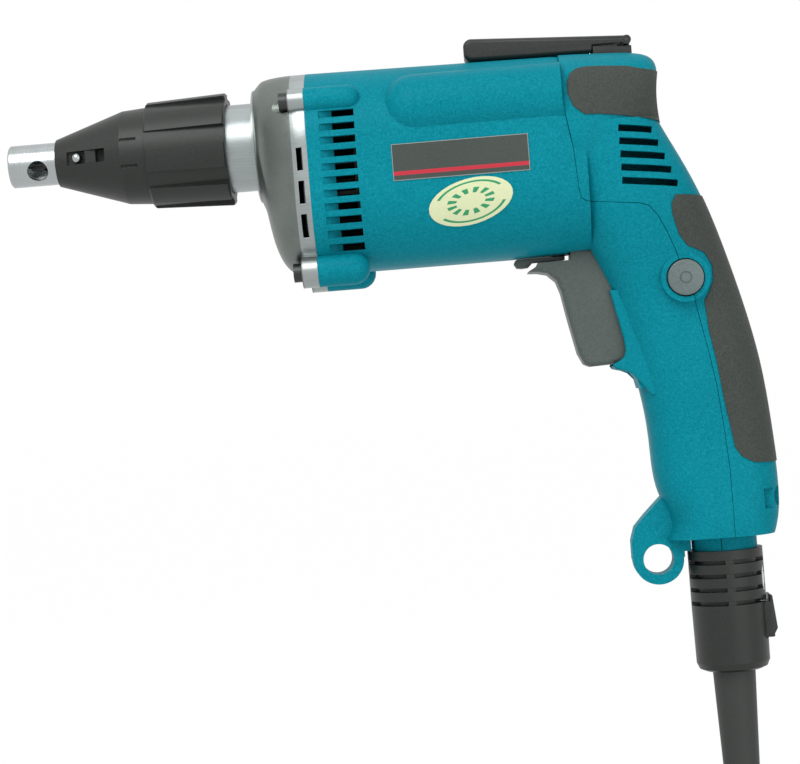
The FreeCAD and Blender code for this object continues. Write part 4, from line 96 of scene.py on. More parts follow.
class Term:
    """A shader value that takes part in Python arithmetic."""

    def __init__(self, paint: "Paint", socket: bpy.types.NodeSocket) -> None:
        """Wrap an output socket of a material's tree."""
        self.paint = paint
        self.socket = socket

    def _math(self, operation: str, *values: Union["Term", Number]) -> "Term":
        """Add one Math node.

        Args:
            operation: The Math node's operation.
            values: Its inputs in order.

        Returns:
            The node's result.
        """
        return self.paint.node(
            "ShaderNodeMath", {"operation": operation}, dict(enumerate(values)))

    def __add__(self, other: Union["Term", Number]) -> "Term":
        """Sum of two values."""
        return self._math("ADD", self, other)

    def __sub__(self, other: Union["Term", Number]) -> "Term":
        """Difference of two values."""
        return self._math("SUBTRACT", self, other)

    def __rsub__(self, other: Number) -> "Term":
        """A number less this value."""
        return self._math("SUBTRACT", other, self)

    def __mul__(self, other: Union["Term", Number]) -> "Term":
        """Product of two values."""
        return self._math("MULTIPLY", self, other)

    def __truediv__(self, other: Union["Term", Number]) -> "Term":
        """Quotient of two values."""
        return self._math("DIVIDE", self, other)

    def __abs__(self) -> "Term":
        """Size of the value without its sign."""
        return self._math("ABSOLUTE", self)

    __radd__ = __add__
    __rmul__ = __mul__

    def root(self) -> "Term":
        """Square root of the value."""
        return self._math("SQRT", self)

    def larger(self, other: Union["Term", Number]) -> "Term":
        """The larger of two values."""
        return self._math("MAXIMUM", self, other)

    def smaller(self, other: Union["Term", Number]) -> "Term":
        """The smaller of two values."""
        return self._math("MINIMUM", self, other)

    def angle(self, across: "Term") -> "Term":
        """Angle of the point (across, self), in radians."""
        return self._math("ARCTAN2", self, across)

    def ramp(self, low: Number, high: Number) -> "Term":
        """Smooth step from 0 at one value to 1 at another.

        Args:
            low: Where the step starts.
            high: Where the step ends.

        Returns:
            The step, from 0 to 1.
        """
        return self.paint.node(
            "ShaderNodeMapRange", {"interpolation_type": "SMOOTHSTEP"},
            {"Value": self, "From Min": low, "From Max": high})

    def band(self, low: Number, high: Number, soft: Number) -> "Term":
        """Mask of a band of values with soft edges.

        Args:
            low: Lower edge of the band.
            high: Upper edge of the band.
            soft: Width of each edge.

        Returns:
            1 inside the band and 0 outside it.
        """
        return self.ramp(low - soft, low) * (1 - self.ramp(high, high + soft))


class Paint:
    """One node-based material in the making."""

    def __init__(self, name: str, colour: Colour, roughness: float, metallic: float = 0.0) -> None:
        """Start a material from its even colour and gloss."""
        self.material = bpy.data.materials.new(name)
        self.material.use_nodes = True
        self.material.diffuse_color = (*colour, 1.0)
        self.tree = self.material.node_tree
        self.shader = self.tree.nodes["Principled BSDF"]
        self.set("Base Color", (*colour, 1.0))
        self.set("Roughness", roughness)
        self.set("Metallic", metallic)
        self._spot: dict[Axis, Term] = {}
        self._object: Union[Term, None] = None

    def set(self, socket: str, value: Any) -> None:
        """Give an input of the main shader a constant or a link."""
        self._feed(self.shader.inputs[socket], value)

    def _feed(self, target: bpy.types.NodeSocket, value: Any) -> None:
        """Link a term to a socket, or set the socket's own value."""
        if isinstance(value, Term):
            self.tree.links.new(value.socket, target)
        else:
            target.default_value = value

    def node(self, kind: str, settings: dict[str, Any], inputs: dict[Any, Any],
             output: Union[int, str] = 0) -> Term:
        """Add any node.

        Args:
            kind: The node's type.
            settings: Properties, set first.
            inputs: Values or terms by socket name or number.
            output: The output that is wanted.

        Returns:
            That output as a term.
        """
        made = self.tree.nodes.new(kind)
        for key, value in settings.items():
            setattr(made, key, value)
        for key, value in inputs.items():
            self._feed(made.inputs[key], value)
        return Term(self, made.outputs[output])

    def spot(self) -> Term:
        """Position on the piece, in metres in the frame."""
        if self._object is None:
            self._object = self.node("ShaderNodeTexCoord", {}, {}, "Object")
        return self._object

    def along(self, axis: Axis) -> Term:
        """Position along one axis of the frame, in metres."""
        if axis not in self._spot:
            for each in Axis:
                self._spot[each] = self.node(
                    "ShaderNodeSeparateXYZ", {}, {0: self.spot()}, each.value)
        return self._spot[axis]

    def stretched(self, scale: Sequence[float]) -> Term:
        """Position scaled by axis, for drawn-out patterns.

        Args:
            scale: Factor along each axis.

        Returns:
            The changed position.
        """
        return self.node(
            "ShaderNodeMapping", {}, {"Vector": self.spot(), "Scale": tuple(scale)})

    def noise(self, size: float, detail: float = 2.0, place: Union[Term, None] = None) -> Term:
        """Noise with blotches of about one size.

        Args:
            size: Size of a blotch, in metres.
            detail: Octaves of finer noise.
            place: Position to read, or the plain one.

        Returns:
            The noise, from 0 to 1.
        """
        return self.node(
            "ShaderNodeTexNoise", {},
            {"Vector": place or self.spot(), "Scale": 1 / size, "Detail": detail})

    def pebbles(self, size: float) -> Term:
        """Distance to the nearest of many scattered points.

        Args:
            size: Mean distance of the points, in metres.

        Returns:
            The distance as a share of that size.
        """
        return self.node(
            "ShaderNodeTexVoronoi", {}, {"Vector": self.spot(), "Scale": 1 / size}, "Distance")

    def mix(self, share: Union[Term, float], first: Any, second: Any) -> Term:
        """Blend two colours.

        Args:
            share: Share of the second colour.
            first: Colour or term.
            second: Colour or term.

        Returns:
            The blended colour.
        """
        ends = [(*c, 1.0) if isinstance(c, tuple) and len(c) == 3 else c for c in (first, second)]
        return self.node(
            "ShaderNodeMix", {"data_type": "RGBA"}, {0: share, 6: ends[0], 7: ends[1]}, 2)

    def bump(self, height: Term, depth: float, edge: float = 0.0) -> None:
        """Raise the surface by a height pattern.

        Args:
            height: The pattern, from 0 to 1.
            depth: What 1 means, in metres.
            edge: Radius of softened edges, in metres, or 0 for none.
        """
        inputs = {"Height": height, "Distance": depth, "Strength": 1.0}
        if edge:
            inputs["Normal"] = self.node("ShaderNodeBevel", {"samples": 4}, {"Radius": edge})
        self.set("Normal", self.node("ShaderNodeBump", {}, inputs))


@dataclass(frozen=True)
class Finish:
    """A grained moulded or cast surface."""

    name: str
    colour: Colour
    roughness: float
    metallic: float = 0.0
    grain: float = 0.8 * MM
    depth: float = 0.05 * MM
    speckle: float = 0.08
    drift: float = 0.06
    edge: float = 0.25 * MM
    specular: float = 0.5
    LIGHT_GAIN: ClassVar[float] = 4.0
    LIGHT_LIFT: ClassVar[float] = 0.04
    DARK_GAIN: ClassVar[float] = 2.0
    DRIFT_GAIN: ClassVar[float] = 8.0
    CONTRAST: ClassVar[float] = 1.6
    PATCH: ClassVar[float] = 30 * MM
    GLOSS_SPREAD: ClassVar[float] = 0.2

    def start(self) -> Paint:
        """The paint with its even values set."""
        paint = Paint(self.name + "_finish", self.colour, self.roughness, self.metallic)
        paint.set("Specular IOR Level", self.specular)
        return paint

    def shade(self, paint: Paint) -> Term:
        """Colour with fine speckle and slow drift over the piece.

        Args:
            paint: The material in the making.

        Returns:
            The colour.
        """
        light = tuple(
            min(1.0, part * (1 + self.LIGHT_GAIN * self.speckle) + self.speckle * self.LIGHT_LIFT)
            for part in self.colour)
        dark = tuple(part * (1 - self.DARK_GAIN * self.speckle) for part in self.colour)
        fine = paint.noise(self.grain, 3.0)
        slow = paint.noise(self.PATCH, 2.0)
        share = ((fine - 0.5) * self.CONTRAST + 0.5
                 + (slow - 0.5) * self.drift * self.DRIFT_GAIN)
        return paint.mix(share.larger(0.0).smaller(1.0), dark, light)

    def dress(self, paint: Paint) -> None:
        """Add the grain, colour and gloss."""
        paint.set("Base Color", self.shade(paint))
        grain = paint.noise(self.grain, 4.0)
        paint.set("Roughness", grain * self.GLOSS_SPREAD + (self.roughness - self.GLOSS_SPREAD / 2))
        paint.bump(grain, self.depth, edge=self.edge)

    def material(self) -> bpy.types.Material:
        """The finished material, made once."""
        known = bpy.data.materials.get(self.name + "_finish")
        if known:
            return known
        paint = self.start()
        self.dress(paint)
        return paint.material


@dataclass(frozen=True)
class TealShell(Finish):
    """Spark-textured coloured plastic of the shells."""

    fleck_size: float = 0.5
    fleck_low: float = 0.56
    fleck_high: float = 0.72
    fleck_share: float = 0.6
    pale_gain: float = 1.4
    pale_lift: float = 0.015
    pit_size: float = 0.45
    pit_share: float = 0.3
    gloss_spread: float = 0.22

    def dress(self, paint: Paint) -> None:
        """Add the spark texture, its sparkle and the drift of the colour."""
        flecks = paint.noise(self.grain * self.fleck_size, 2.0).ramp(
            self.fleck_low, self.fleck_high)
        pale = tuple(min(1.0, part * self.pale_gain + self.pale_lift) for part in self.colour)
        paint.set("Base Color", paint.mix(flecks * self.fleck_share, self.shade(paint), pale))
        grain = paint.noise(self.grain, 4.0)
        pits = paint.noise(self.grain * self.pit_size, 2.0)
        paint.set("Roughness", grain * self.gloss_spread + (self.roughness - self.gloss_spread / 2))
        paint.bump(
            grain * (1 - self.pit_share) + pits * self.pit_share, self.depth, edge=self.edge)


@dataclass(frozen=True)
class JointedShell(TealShell):
    """The shells' plastic with the dark line of the joint that runs on down the collar."""

    joint: float = 6.4 * MM
    joint_half: float = 0.16 * MM
    joint_soft: float = 0.08 * MM
    joint_share: float = 0.9
    gap: Colour = tone(10, 46, 54)

    def shade(self, paint: Paint) -> Term:
        """The shells' colour with the joint line."""
        line = paint.along(Axis.X).band(
            self.joint - self.joint_half, self.joint + self.joint_half, self.joint_soft)
        return paint.mix(line * self.joint_share, super().shade(paint), self.gap)


@dataclass(frozen=True)
class CastMetal(Finish):
    """Die-cast metal: dull where cast, bright where the flange and the neck are machined, and
    painted dark as shade inside the flange's vent slots.
    """

    flange: float = -139.6 * MM
    neck: float = -154.5 * MM
    blend: float = 0.2 * MM
    machined: Colour = tone(164, 171, 171)
    machined_dark: float = 0.7
    machined_gloss: float = 0.08
    machined_smooth: float = 0.8
    strokes: tuple[float, float, float] = (90.0, 600.0, 2600.0)
    cloud: float = 14 * MM
    cloud_share: float = 0.6
    cloud_gain: float = 1.4
    cloud_drop: float = 0.2
    cast_dark: float = 0.62
    cast_light: float = 1.45
    gloss_spread: float = 0.16
    slot_rough: float = 0.4
    slot_front: float = -138.3 * MM
    slot_back: float = -135.7 * MM
    slot_low: float = 47.0 * MM
    slot_high: float = 80.2 * MM
    slot_skin: float = 0.9 * MM
    # painted shade: the dark colour put inside the flange's vent slots
    slot_shade: Colour = tone(30, 33, 29)
    side: float = 34.0 * MM
    corner: float = 28.0 * MM
    corner_low: float = 62.8 * MM

    def dress(self, paint: Paint) -> None:
        """Add the cast skin, its stains, the machined ends and the painted shade inside the vent
        slots.
        """
        cloud = paint.noise(self.cloud, 3.0) * self.cloud_gain - self.cloud_drop
        grain = paint.noise(self.grain, 4.0)
        dark = tuple(part * self.cast_dark for part in self.colour)
        light = tuple(min(1.0, part * self.cast_light) for part in self.colour)
        skin = paint.mix(
            cloud * self.cloud_share + grain * (1 - self.cloud_share), dark, light)
        x = paint.along(Axis.X)
        bright = x.ramp(self.flange - self.blend, self.flange + self.blend).larger(
            1 - x.ramp(self.neck - self.blend, self.neck + self.blend))
        strokes = paint.noise(1.0, 3.0, paint.stretched(self.strokes))
        face = paint.mix(
            strokes, tuple(part * self.machined_dark for part in self.machined), self.machined)
        # Painted shade: deeper than slot_skin below the skin, the vent slots get a dark colour for
        # the shade inside them, and more roughness.
        z = paint.along(Axis.Z)
        over = (self.corner_low - z).larger(0.0)
        skin_side = (self.corner ** 2 - over * over).root() + (self.side - self.corner)
        inside = (skin_side - abs(paint.along(Axis.Y))).ramp(
            self.slot_skin, self.slot_skin + self.blend)
        slot = inside * x.band(self.slot_front, self.slot_back, self.blend) * z.band(
            self.slot_low, self.slot_high, self.blend)
        paint.set("Base Color", paint.mix(slot, paint.mix(bright, skin, face), self.slot_shade))
        gloss = self.roughness + grain * self.gloss_spread - self.gloss_spread / 2
        paint.set("Roughness", gloss - bright * self.machined_gloss + slot * self.slot_rough)
        paint.bump(grain * (1 - bright * self.machined_smooth), self.depth, edge=self.edge)


@dataclass(frozen=True)
class TurnedMetal(Finish):
    """Metal turned on a lathe about an axis along X."""

    ring: float = 0.8 * MM
    around: float = 18.0
    cloud: float = 9 * MM
    ring_share: float = 0.7
    dark_share: float = 0.8
    gloss_spread: float = 0.1

    def dress(self, paint: Paint) -> None:
        """Add fine tool rings and cloudy wear."""
        rings = paint.noise(
            1.0, 1.0, paint.stretched((1 / self.ring, self.around, self.around)))
        cloud = paint.noise(self.cloud, 3.0)
        dark = tuple(part * self.dark_share for part in self.colour)
        paint.set("Base Color", paint.mix(
            rings * self.ring_share + cloud * (1 - self.ring_share), dark, self.colour))
        paint.set("Roughness", (rings + cloud) * self.gloss_spread
                  + (self.roughness - self.gloss_spread))
        paint.bump(rings, self.depth, edge=self.edge)


@dataclass(frozen=True)
class PebbledRubber(Finish):
    """Matte rubber with a pebbled moulded skin."""

    gloss_spread: float = 0.15

    def dress(self, paint: Paint) -> None:
        """Add pebbles, dust and a dull sheen."""
        paint.set("Base Color", self.shade(paint))
        pebbles = paint.pebbles(self.grain)
        paint.set("Roughness", self.roughness - pebbles * self.gloss_spread)
        paint.bump(1 - pebbles, self.depth, edge=self.edge)


@dataclass(frozen=True)
class WoundWire(Finish):
    """Enamelled wire wound about the motor's axis."""

    wire: float = 0.7 * MM
    waves: float = 0.3
    waver: float = 1.5
    dark_share: float = 0.45

    def dress(self, paint: Paint) -> None:
        """Add the lay of the wires as fine waves."""
        lay = paint.node(
            "ShaderNodeTexWave", {"bands_direction": "X"},
            {"Vector": paint.spot(), "Scale": self.waves / self.wire, "Distortion": self.waver})
        dark = tuple(part * self.dark_share for part in self.colour)
        paint.set("Base Color", paint.mix(lay, dark, self.colour))
        paint.bump(lay, self.depth)


@dataclass(frozen=True)
class SheetStack(Finish):
    """Thin steel sheets stacked along X."""

    sheet: float = 0.5 * MM
    waves: float = 0.32
    dark_share: float = 0.5

    def dress(self, paint: Paint) -> None:
        """Add the joints between the sheets."""
        lay = paint.node(
            "ShaderNodeTexWave", {"bands_direction": "X"},
            {"Vector": paint.spot(), "Scale": self.waves / self.sheet})
        dark = tuple(part * self.dark_share for part in self.colour)
        paint.set("Base Color", paint.mix(lay, dark, self.colour))
        paint.bump(lay, self.depth)


@dataclass(frozen=True)
class NameplateFilm(Finish):
    """Grey plate with a pale rim and one red stripe, left bare of words."""

    node: str = "label_plate"
    rim: float = 0.25 * MM
    stripe_low: float = 1.9 * MM
    stripe_high: float = 3.3 * MM
    soft: float = 0.05 * MM
    stripe: Colour = tone(196, 44, 62)
    pale: Colour = tone(150, 158, 154)

    def dress(self, paint: Paint) -> None:
        """Add the stripe, the rim and a fine film grain."""
        low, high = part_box(self.node)
        x, z = paint.along(Axis.X), paint.along(Axis.Z)
        red = z.band(low.z + self.stripe_low, low.z + self.stripe_high, self.soft)
        inside = x.band(low.x + self.rim, high.x - self.rim, self.soft) * z.band(
            low.z + self.rim, high.z - self.rim, self.soft)
        field_colour = paint.mix(red, self.shade(paint), self.stripe)
        paint.set("Base Color", paint.mix(inside, self.pale, field_colour))
        paint.bump(paint.noise(self.grain, 2.0), self.depth)


@dataclass(frozen=True)
class OvalFilm(Finish):
    """Pale oval sticker with a green turning mark: two open arcs round a ring of ticks."""

    node: str = "oval_sticker"
    tilt: float = math.radians(12.0)
    half_long: float = 15.7 * MM
    half_tall: float = 8.1 * MM
    green: Colour = tone(34, 150, 96)
    ticks: int = 12
    arc_reach: tuple[float, float, float] = (0.80, 0.86, 0.015)
    arc_turn: tuple[float, float, float] = (0.45, 2.6, 0.03)
    tick_reach: tuple[float, float, float] = (0.36, 0.56, 0.02)
    tick_soft: float = 0.1

    def dress(self, paint: Paint) -> None:
        """Add the arcs and the ticks on the pale field."""
        low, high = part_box(self.node)
        x = paint.along(Axis.X) - (low.x + high.x) / 2
        z = paint.along(Axis.Z) - (low.z + high.z) / 2
        across = (x * math.cos(self.tilt) + z * math.sin(self.tilt)) / self.half_long
        up = (z * math.cos(self.tilt) - x * math.sin(self.tilt)) / self.half_tall
        reach = (across * across + up * up).root()
        turn = up.angle(across)
        arcs = reach.band(*self.arc_reach) * abs(turn).band(*self.arc_turn)
        teeth = paint.node("ShaderNodeMath", {"operation": "SINE"}, {0: turn * self.ticks})
        ring = reach.band(*self.tick_reach) * teeth.ramp(-self.tick_soft, self.tick_soft)
        mark = arcs.larger(ring)
        paint.set("Base Color", paint.mix(mark, self.shade(paint), self.green))
        paint.bump(paint.noise(self.grain, 2.0), self.depth)


TEAL = TealShell("teal_plastic", tone(3, 130, 146), 0.44, grain=0.9 * MM, depth=0.06 * MM,
                 specular=0.04)
COLLAR = JointedShell("teal_collar", TEAL.colour, 0.44, grain=0.9 * MM, depth=0.06 * MM,
                      specular=0.04)
BLACK = Finish("black_plastic", tone(32, 36, 33), 0.42, grain=0.7 * MM, depth=0.04 * MM,
               specular=0.36)
GREY = Finish("grey_plastic", tone(74, 84, 80), 0.46, grain=0.7 * MM, depth=0.04 * MM,
              specular=0.4)
BUTTON = Finish("button_plastic", tone(92, 106, 105), 0.36, grain=0.7 * MM, depth=0.03 * MM)
RUBBER = PebbledRubber("grip_rubber", tone(57, 63, 58), 0.72, grain=0.75 * MM, depth=0.10 * MM,
                       speckle=0.12, specular=0.3)
CAST = CastMetal("die_cast", tone(112, 119, 115), 0.42, 1.0, grain=0.7 * MM, depth=0.05 * MM,
                 edge=0.4 * MM)
STEEL = TurnedMetal("steel", tone(176, 181, 182), 0.27, 1.0, depth=0.004 * MM)
# dark steel of the screws and the hook pin, also lent to the bearing plate as painted shade
DARK_STEEL_AND_SHADE = Finish("dark_steel", tone(62, 64, 64), 0.40, 1.0, grain=0.5 * MM, depth=0.02 * MM)
SPRING = TurnedMetal("spring_steel", tone(188, 188, 190), 0.32, 1.0, depth=0.01 * MM)
BRONZE = Finish("bronze", tone(196, 156, 92), 0.42, 1.0, grain=0.4 * MM, depth=0.02 * MM)
COPPER = WoundWire("copper", tone(196, 112, 66), 0.36, 0.9, depth=0.12 * MM)
LAMINATION = SheetStack("lamination", tone(128, 130, 132), 0.48, 0.9, depth=0.05 * MM)
MAGNET = Finish("magnet", tone(112, 114, 118), 0.36, 0.9, grain=0.4 * MM)
CARBON = Finish("carbon", tone(46, 46, 48), 0.62, grain=0.3 * MM)
CAPACITOR = Finish("capacitor_case", tone(206, 172, 60), 0.30, grain=1.5 * MM, depth=0.02 * MM)
PLATE = NameplateFilm("label_grey", tone(60, 67, 62), 0.38, grain=0.5 * MM, depth=0.01 * MM,
                      specular=0.35)
STICKER = OvalFilm("sticker", tone(222, 230, 184), 0.36, grain=0.6 * MM, depth=0.008 * MM,
                   speckle=0.02)
CORD = Finish("cord_rubber", tone(38, 42, 39), 0.55, grain=0.6 * MM, depth=0.03 * MM)
TIE = Finish("tie_plastic", tone(60, 62, 62), 0.45, grain=0.9 * MM, depth=0.02 * MM)
PIN = Finish("pin_metal", tone(214, 206, 178), 0.26, 1.0, grain=0.4 * MM, depth=0.008 * MM)
INDEX = Finish("index_white", tone(236, 238, 236), 0.45, grain=0.6 * MM, depth=0.01 * MM)
FINISHES = (TEAL, BLACK, GREY, RUBBER, CAST, STEEL, DARK_STEEL_AND_SHADE, SPRING, BRONZE, COPPER, LAMINATION,
            MAGNET, CARBON, CAPACITOR, PLATE, STICKER, CORD, TIE, PIN)


NODE_FINISHES = {
    "handle_collar": COLLAR, "lock_button": BUTTON, "hook_pin": DARK_STEEL_AND_SHADE,
    # painted shade: the die-cast bearing plate behind the gear case's vents is made dark so that
    # the vents read dark
    "bearing_plate": DARK_STEEL_AND_SHADE,
}


def paint_object(piece: bpy.types.Object, finish: Finish) -> None:
    """Give an object one material in place of any it has."""
    piece.data.materials.clear()
    piece.data.materials.append(finish.material())


def add_piece(name: str, mesh: bmesh.types.BMesh, finish: Finish, body: str,
              smooth: float = 35.0) -> bpy.types.Object:
    """Turn a bmesh into a piece of the object.

    Args:
        name: The piece's name.
        mesh: Its shape in the frame, in metres. It is freed.
        finish: Its surface.
        body: The body that it rides on.
        smooth: Edges sharper than this angle stay sharp, in degrees.

    Returns:
        The new object.
    """
    bmesh.ops.recalc_face_normals(mesh, faces=mesh.faces)
    data = bpy.data.meshes.new(name)
    mesh.to_mesh(data)
    mesh.free()
    data.shade_smooth()
    data.set_sharp_from_angle(angle=math.radians(smooth))
    piece = bpy.data.objects.new(name, data)
    bpy.context.scene.collection.objects.link(piece)
    paint_object(piece, finish)
    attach(piece, body)
    log.info("%s: %d faces", name, len(data.polygons))
    return piece


@dataclass
class CordSet:
    """Mains lead below the handle: a straight drop, a tied coil and a tail to the plug."""

    diameter: float = 7.8 * MM
    reach: float = 8.6 * MM
    exit_height: float = -168.1 * MM
    lead: float = 52.0 * MM
    tail: float = 30.0 * MM
    coil_radius: float = 46.0 * MM
    pitch: float = 9.3 * MM
    points_per_quarter: int = 6
    stretches: tuple[tuple[int, int, int], ...] = (
        (8, -1, 0), (2, 0, 2), (9, 1, 0), (2, 0, 2), (9, -1, 0), (2, 0, 2), (8, 1, 0))
    length: float = 2.418

    def coil_points(self) -> list[Vector]:
        """Control points of the coil's turns.

        Returns:
            Points in the frame, from the top of the coil's first turn to its last.
        """
        level = self.exit_height - self.lead - self.diameter
        radius, side, angle = self.coil_radius, 0.0, 0.0
        step = math.pi / 2 / self.points_per_quarter
        points = [Vector((self.reach, 0.0, level))]
        for quarters, inward, climb in self.stretches:
            for _ in range(quarters * self.points_per_quarter):
                radius += inward * self.pitch / 4 / self.points_per_quarter
                side += climb * self.pitch / 4 / self.points_per_quarter
                angle += step
                points.append(Vector((
                    self.reach - self.coil_radius + radius * math.cos(angle), side,
                    level - radius * math.sin(angle))))
        return points

    def route(self) -> list[Vector]:
        """Control points of the whole lead, exit first."""
        coil = self.coil_points()
        top = Vector((self.reach, 0.0, self.exit_height))
        down = Vector((0.0, 0.0, -1.0))
        drop = [top, top + down * self.lead * 0.5, top + down * self.lead]
        last = coil[-1]
        end = [last + down * self.diameter, last + down * (self.diameter + self.tail)]
        return drop + coil + end

    def build(self) -> None:
        curve = bpy.data.curves.new("power_cord", "CURVE")
        curve.dimensions = "3D"
        curve.bevel_depth = self.diameter / 2
        curve.bevel_resolution = 5
        curve.resolution_u = 2
        curve.use_fill_caps = True
        spline = curve.splines.new("NURBS")
        points = self.route()
        spline.points.add(len(points) - 1)
        for point, place in zip(spline.points, points):
            point.co = (*place, 1.0)
        spline.order_u = 3
        spline.use_endpoint_u = True
        cord = bpy.data.objects.new("power_cord", curve)
        bpy.context.scene.collection.objects.link(cord)
        curve.materials.append(CORD.material())
        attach(cord, "housing")
        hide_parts("power_cord_lead", "power_cord_coil", "power_cord_tail")
        log.info("power_cord: %d points", len(points))


@dataclass
class Connector:
    """White index mark on the boot of the cord's connector."""

    centre: Vector = field(default_factory=lambda: Vector((8.6 * MM, 0.0, 0.0)))
    mark_high: float = -86.5 * MM
    mark_low: float = -96.0 * MM
    mark_half: float = 0.9 * MM
    mark_turn: float = math.radians(-24.0)
    mark_proud: float = 0.12 * MM
    mark_waist: float = 0.3
    boot_radius: float = 14.0 * MM

    def build(self) -> None:
        """Make the white index mark on the boot's side."""
        mesh = bmesh.new()
        middle = (self.mark_high + self.mark_low) / 2
        half = (self.mark_high - self.mark_low) / 2
        corners = [
            mesh.verts.new((0.0, side, middle + half * place))
            for side, place in (
                (0.0, 1.0), (self.mark_half, self.mark_waist), (self.mark_half, -self.mark_waist),
                (0.0, -1.0), (-self.mark_half, -self.mark_waist),
                (-self.mark_half, self.mark_waist))]
        face = mesh.faces.new(corners)
        made = bmesh.ops.extrude_face_region(mesh, geom=[face])["geom"]
        moved = [part for part in made if isinstance(part, bmesh.types.BMVert)]
        bmesh.ops.translate(mesh, verts=moved, vec=(self.mark_proud * 2, 0.0, 0.0))
        bmesh.ops.translate(
            mesh, verts=mesh.verts, vec=(self.boot_radius - self.mark_proud, 0.0, 0.0))
        turn = Matrix.Rotation(self.mark_turn, 3, "Z")
        bmesh.ops.rotate(mesh, verts=mesh.verts, cent=(0, 0, 0), matrix=turn)
        bmesh.ops.translate(mesh, verts=mesh.verts, vec=self.centre)
        add_piece("boot_index_mark", mesh, INDEX, "housing")


@dataclass
class LockButton:
    """Round button that locks the trigger."""

    ring_radius: float = 2.0 * MM
    ring_width: float = 0.35 * MM
    proud: float = 0.1 * MM
    sunk: float = 0.02 * MM
    flat: float = 0.4
    steps: int = 48

    def build(self) -> None:
        """Make the fine raised ring on the button's face."""
        low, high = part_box("lock_button")
        centre = (low + high) / 2
        mesh = bmesh.new()
        profile = [
            mesh.verts.new((self.ring_radius + side * self.ring_width, rise, 0.0))
            for side, rise in (
                (-1.0, 0.0), (-self.flat, -self.proud), (self.flat, -self.proud), (1.0, 0.0))]
        edges = [mesh.edges.new(pair) for pair in zip(profile, profile[1:])]
        bmesh.ops.spin(
            mesh, geom=profile + edges, cent=(0, 0, 0), axis=(0, 1, 0), angle=math.tau,
            steps=self.steps, use_merge=True)
        bmesh.ops.translate(
            mesh, verts=mesh.verts, vec=(centre.x, low.y + self.sunk, centre.z))
        add_piece("lock_button_ring", mesh, GREY, "lock_button")


@dataclass
class RoundedEdges:
    """Moulded pieces that get rounded edges in place of the frame's sharp ones."""

    radii: dict[str, float] = field(default_factory=lambda: {
        "belt_hook": 0.9 * MM, "hook_base": 0.4 * MM, "trigger": 0.6 * MM,
        "reverse_lever": 0.4 * MM, "release_latch": 0.45 * MM, "lock_button": 0.5 * MM})
    sharp: float = math.radians(38.0)
    flat: float = math.radians(1.0)
    weld: float = 0.002 * MM
    smooth: float = 30.0
    segments: int = 3

    def piece(self, node: str, radius: float, body: str, slot: str, finish: Finish) -> None:
        """Make one piece from a copy of its node.

        Args:
            node: The node that it stands for.
            radius: Radius of its edges.
            body: The body that it rides on.
            slot: The record's material slot; not used.
            finish: Its surface.
        """
        mesh = bmesh.new()
        mesh.from_mesh(frame["nodes"][node].data)
        bmesh.ops.remove_doubles(mesh, verts=mesh.verts, dist=self.weld)
        bmesh.ops.dissolve_limit(
            mesh, angle_limit=self.flat, verts=mesh.verts, edges=mesh.edges)
        edges = [edge for edge in mesh.edges if edge.is_convex and len(edge.link_faces) == 2
                 and edge.calc_face_angle(0.0) > self.sharp]
        bmesh.ops.bevel(
            mesh, geom=edges, offset=radius, offset_type="OFFSET", segments=self.segments,
            profile=0.5, affect="EDGES", material=-1, clamp_overlap=True)
        made = add_piece(node + "_rounded", mesh, finish, body, smooth=self.smooth)
        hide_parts(node)

    def build(self) -> None:
        """Make every piece of the list."""
        bodies = frame["record"]["behaviour"]["bodies"]
        by_slot = {finish.name: finish for finish in FINISHES}
        for row in frame["record"]["subparts"]:
            node, slot = row["node"], row["material_slot"]
            if node in self.radii:
                body = next(name for name, nodes in bodies.items() if node in nodes)
                finish = NODE_FINISHES.get(node, by_slot[slot])
                self.piece(node, self.radii[node], body, slot, finish)


@dataclass
class BarrelVents:
    """Floors of the barrel's vents, which slope in from the front end of each slot."""

    start: float = -129.0 * MM
    run: float = 4.6 * MM
    top: float = 91.3 * MM
    pitch: float = 4.84 * MM
    count: int = 11
    half_height: float = 1.28 * MM
    shallow: float = 0.15 * MM
    deep: float = 3.0 * MM
    thickness: float = 1.2 * MM
    clear: float = 0.02 * MM
    side: float = 34.0 * MM
    corner: float = 28.0 * MM
    corner_high: float = 81.8 * MM
    corner_low: float = 62.8 * MM

    def skin(self, height: float) -> float:
        """Distance of the barrel's skin from the middle plane at a height."""
        over = max(height - self.corner_high, self.corner_low - height, 0.0)
        return self.side - self.corner + math.sqrt(self.corner ** 2 - over ** 2)

    def build(self) -> None:
        """Make the sloping floors of both sides as one piece."""
        mesh = bmesh.new()
        for hand in (-1, 1):
            for row in range(self.count):
                height = self.top - self.pitch * row
                skin = min(self.skin(height + self.half_height),
                           self.skin(height - self.half_height))
                outline = ((self.clear, skin - self.shallow), (self.run, skin - self.deep),
                           (self.run, skin - self.deep - self.thickness),
                           (self.clear, skin - self.shallow - self.thickness))
                face = mesh.faces.new([
                    mesh.verts.new((self.start + along, hand * out, height - self.half_height))
                    for along, out in outline])
                made = bmesh.ops.extrude_face_region(mesh, geom=[face])["geom"]
                bmesh.ops.translate(
                    mesh, verts=[part for part in made if isinstance(part, bmesh.types.BMVert)],
                    vec=(0.0, 0.0, 2 * self.half_height))
        add_piece("vent_floors", mesh, TEAL, "housing")


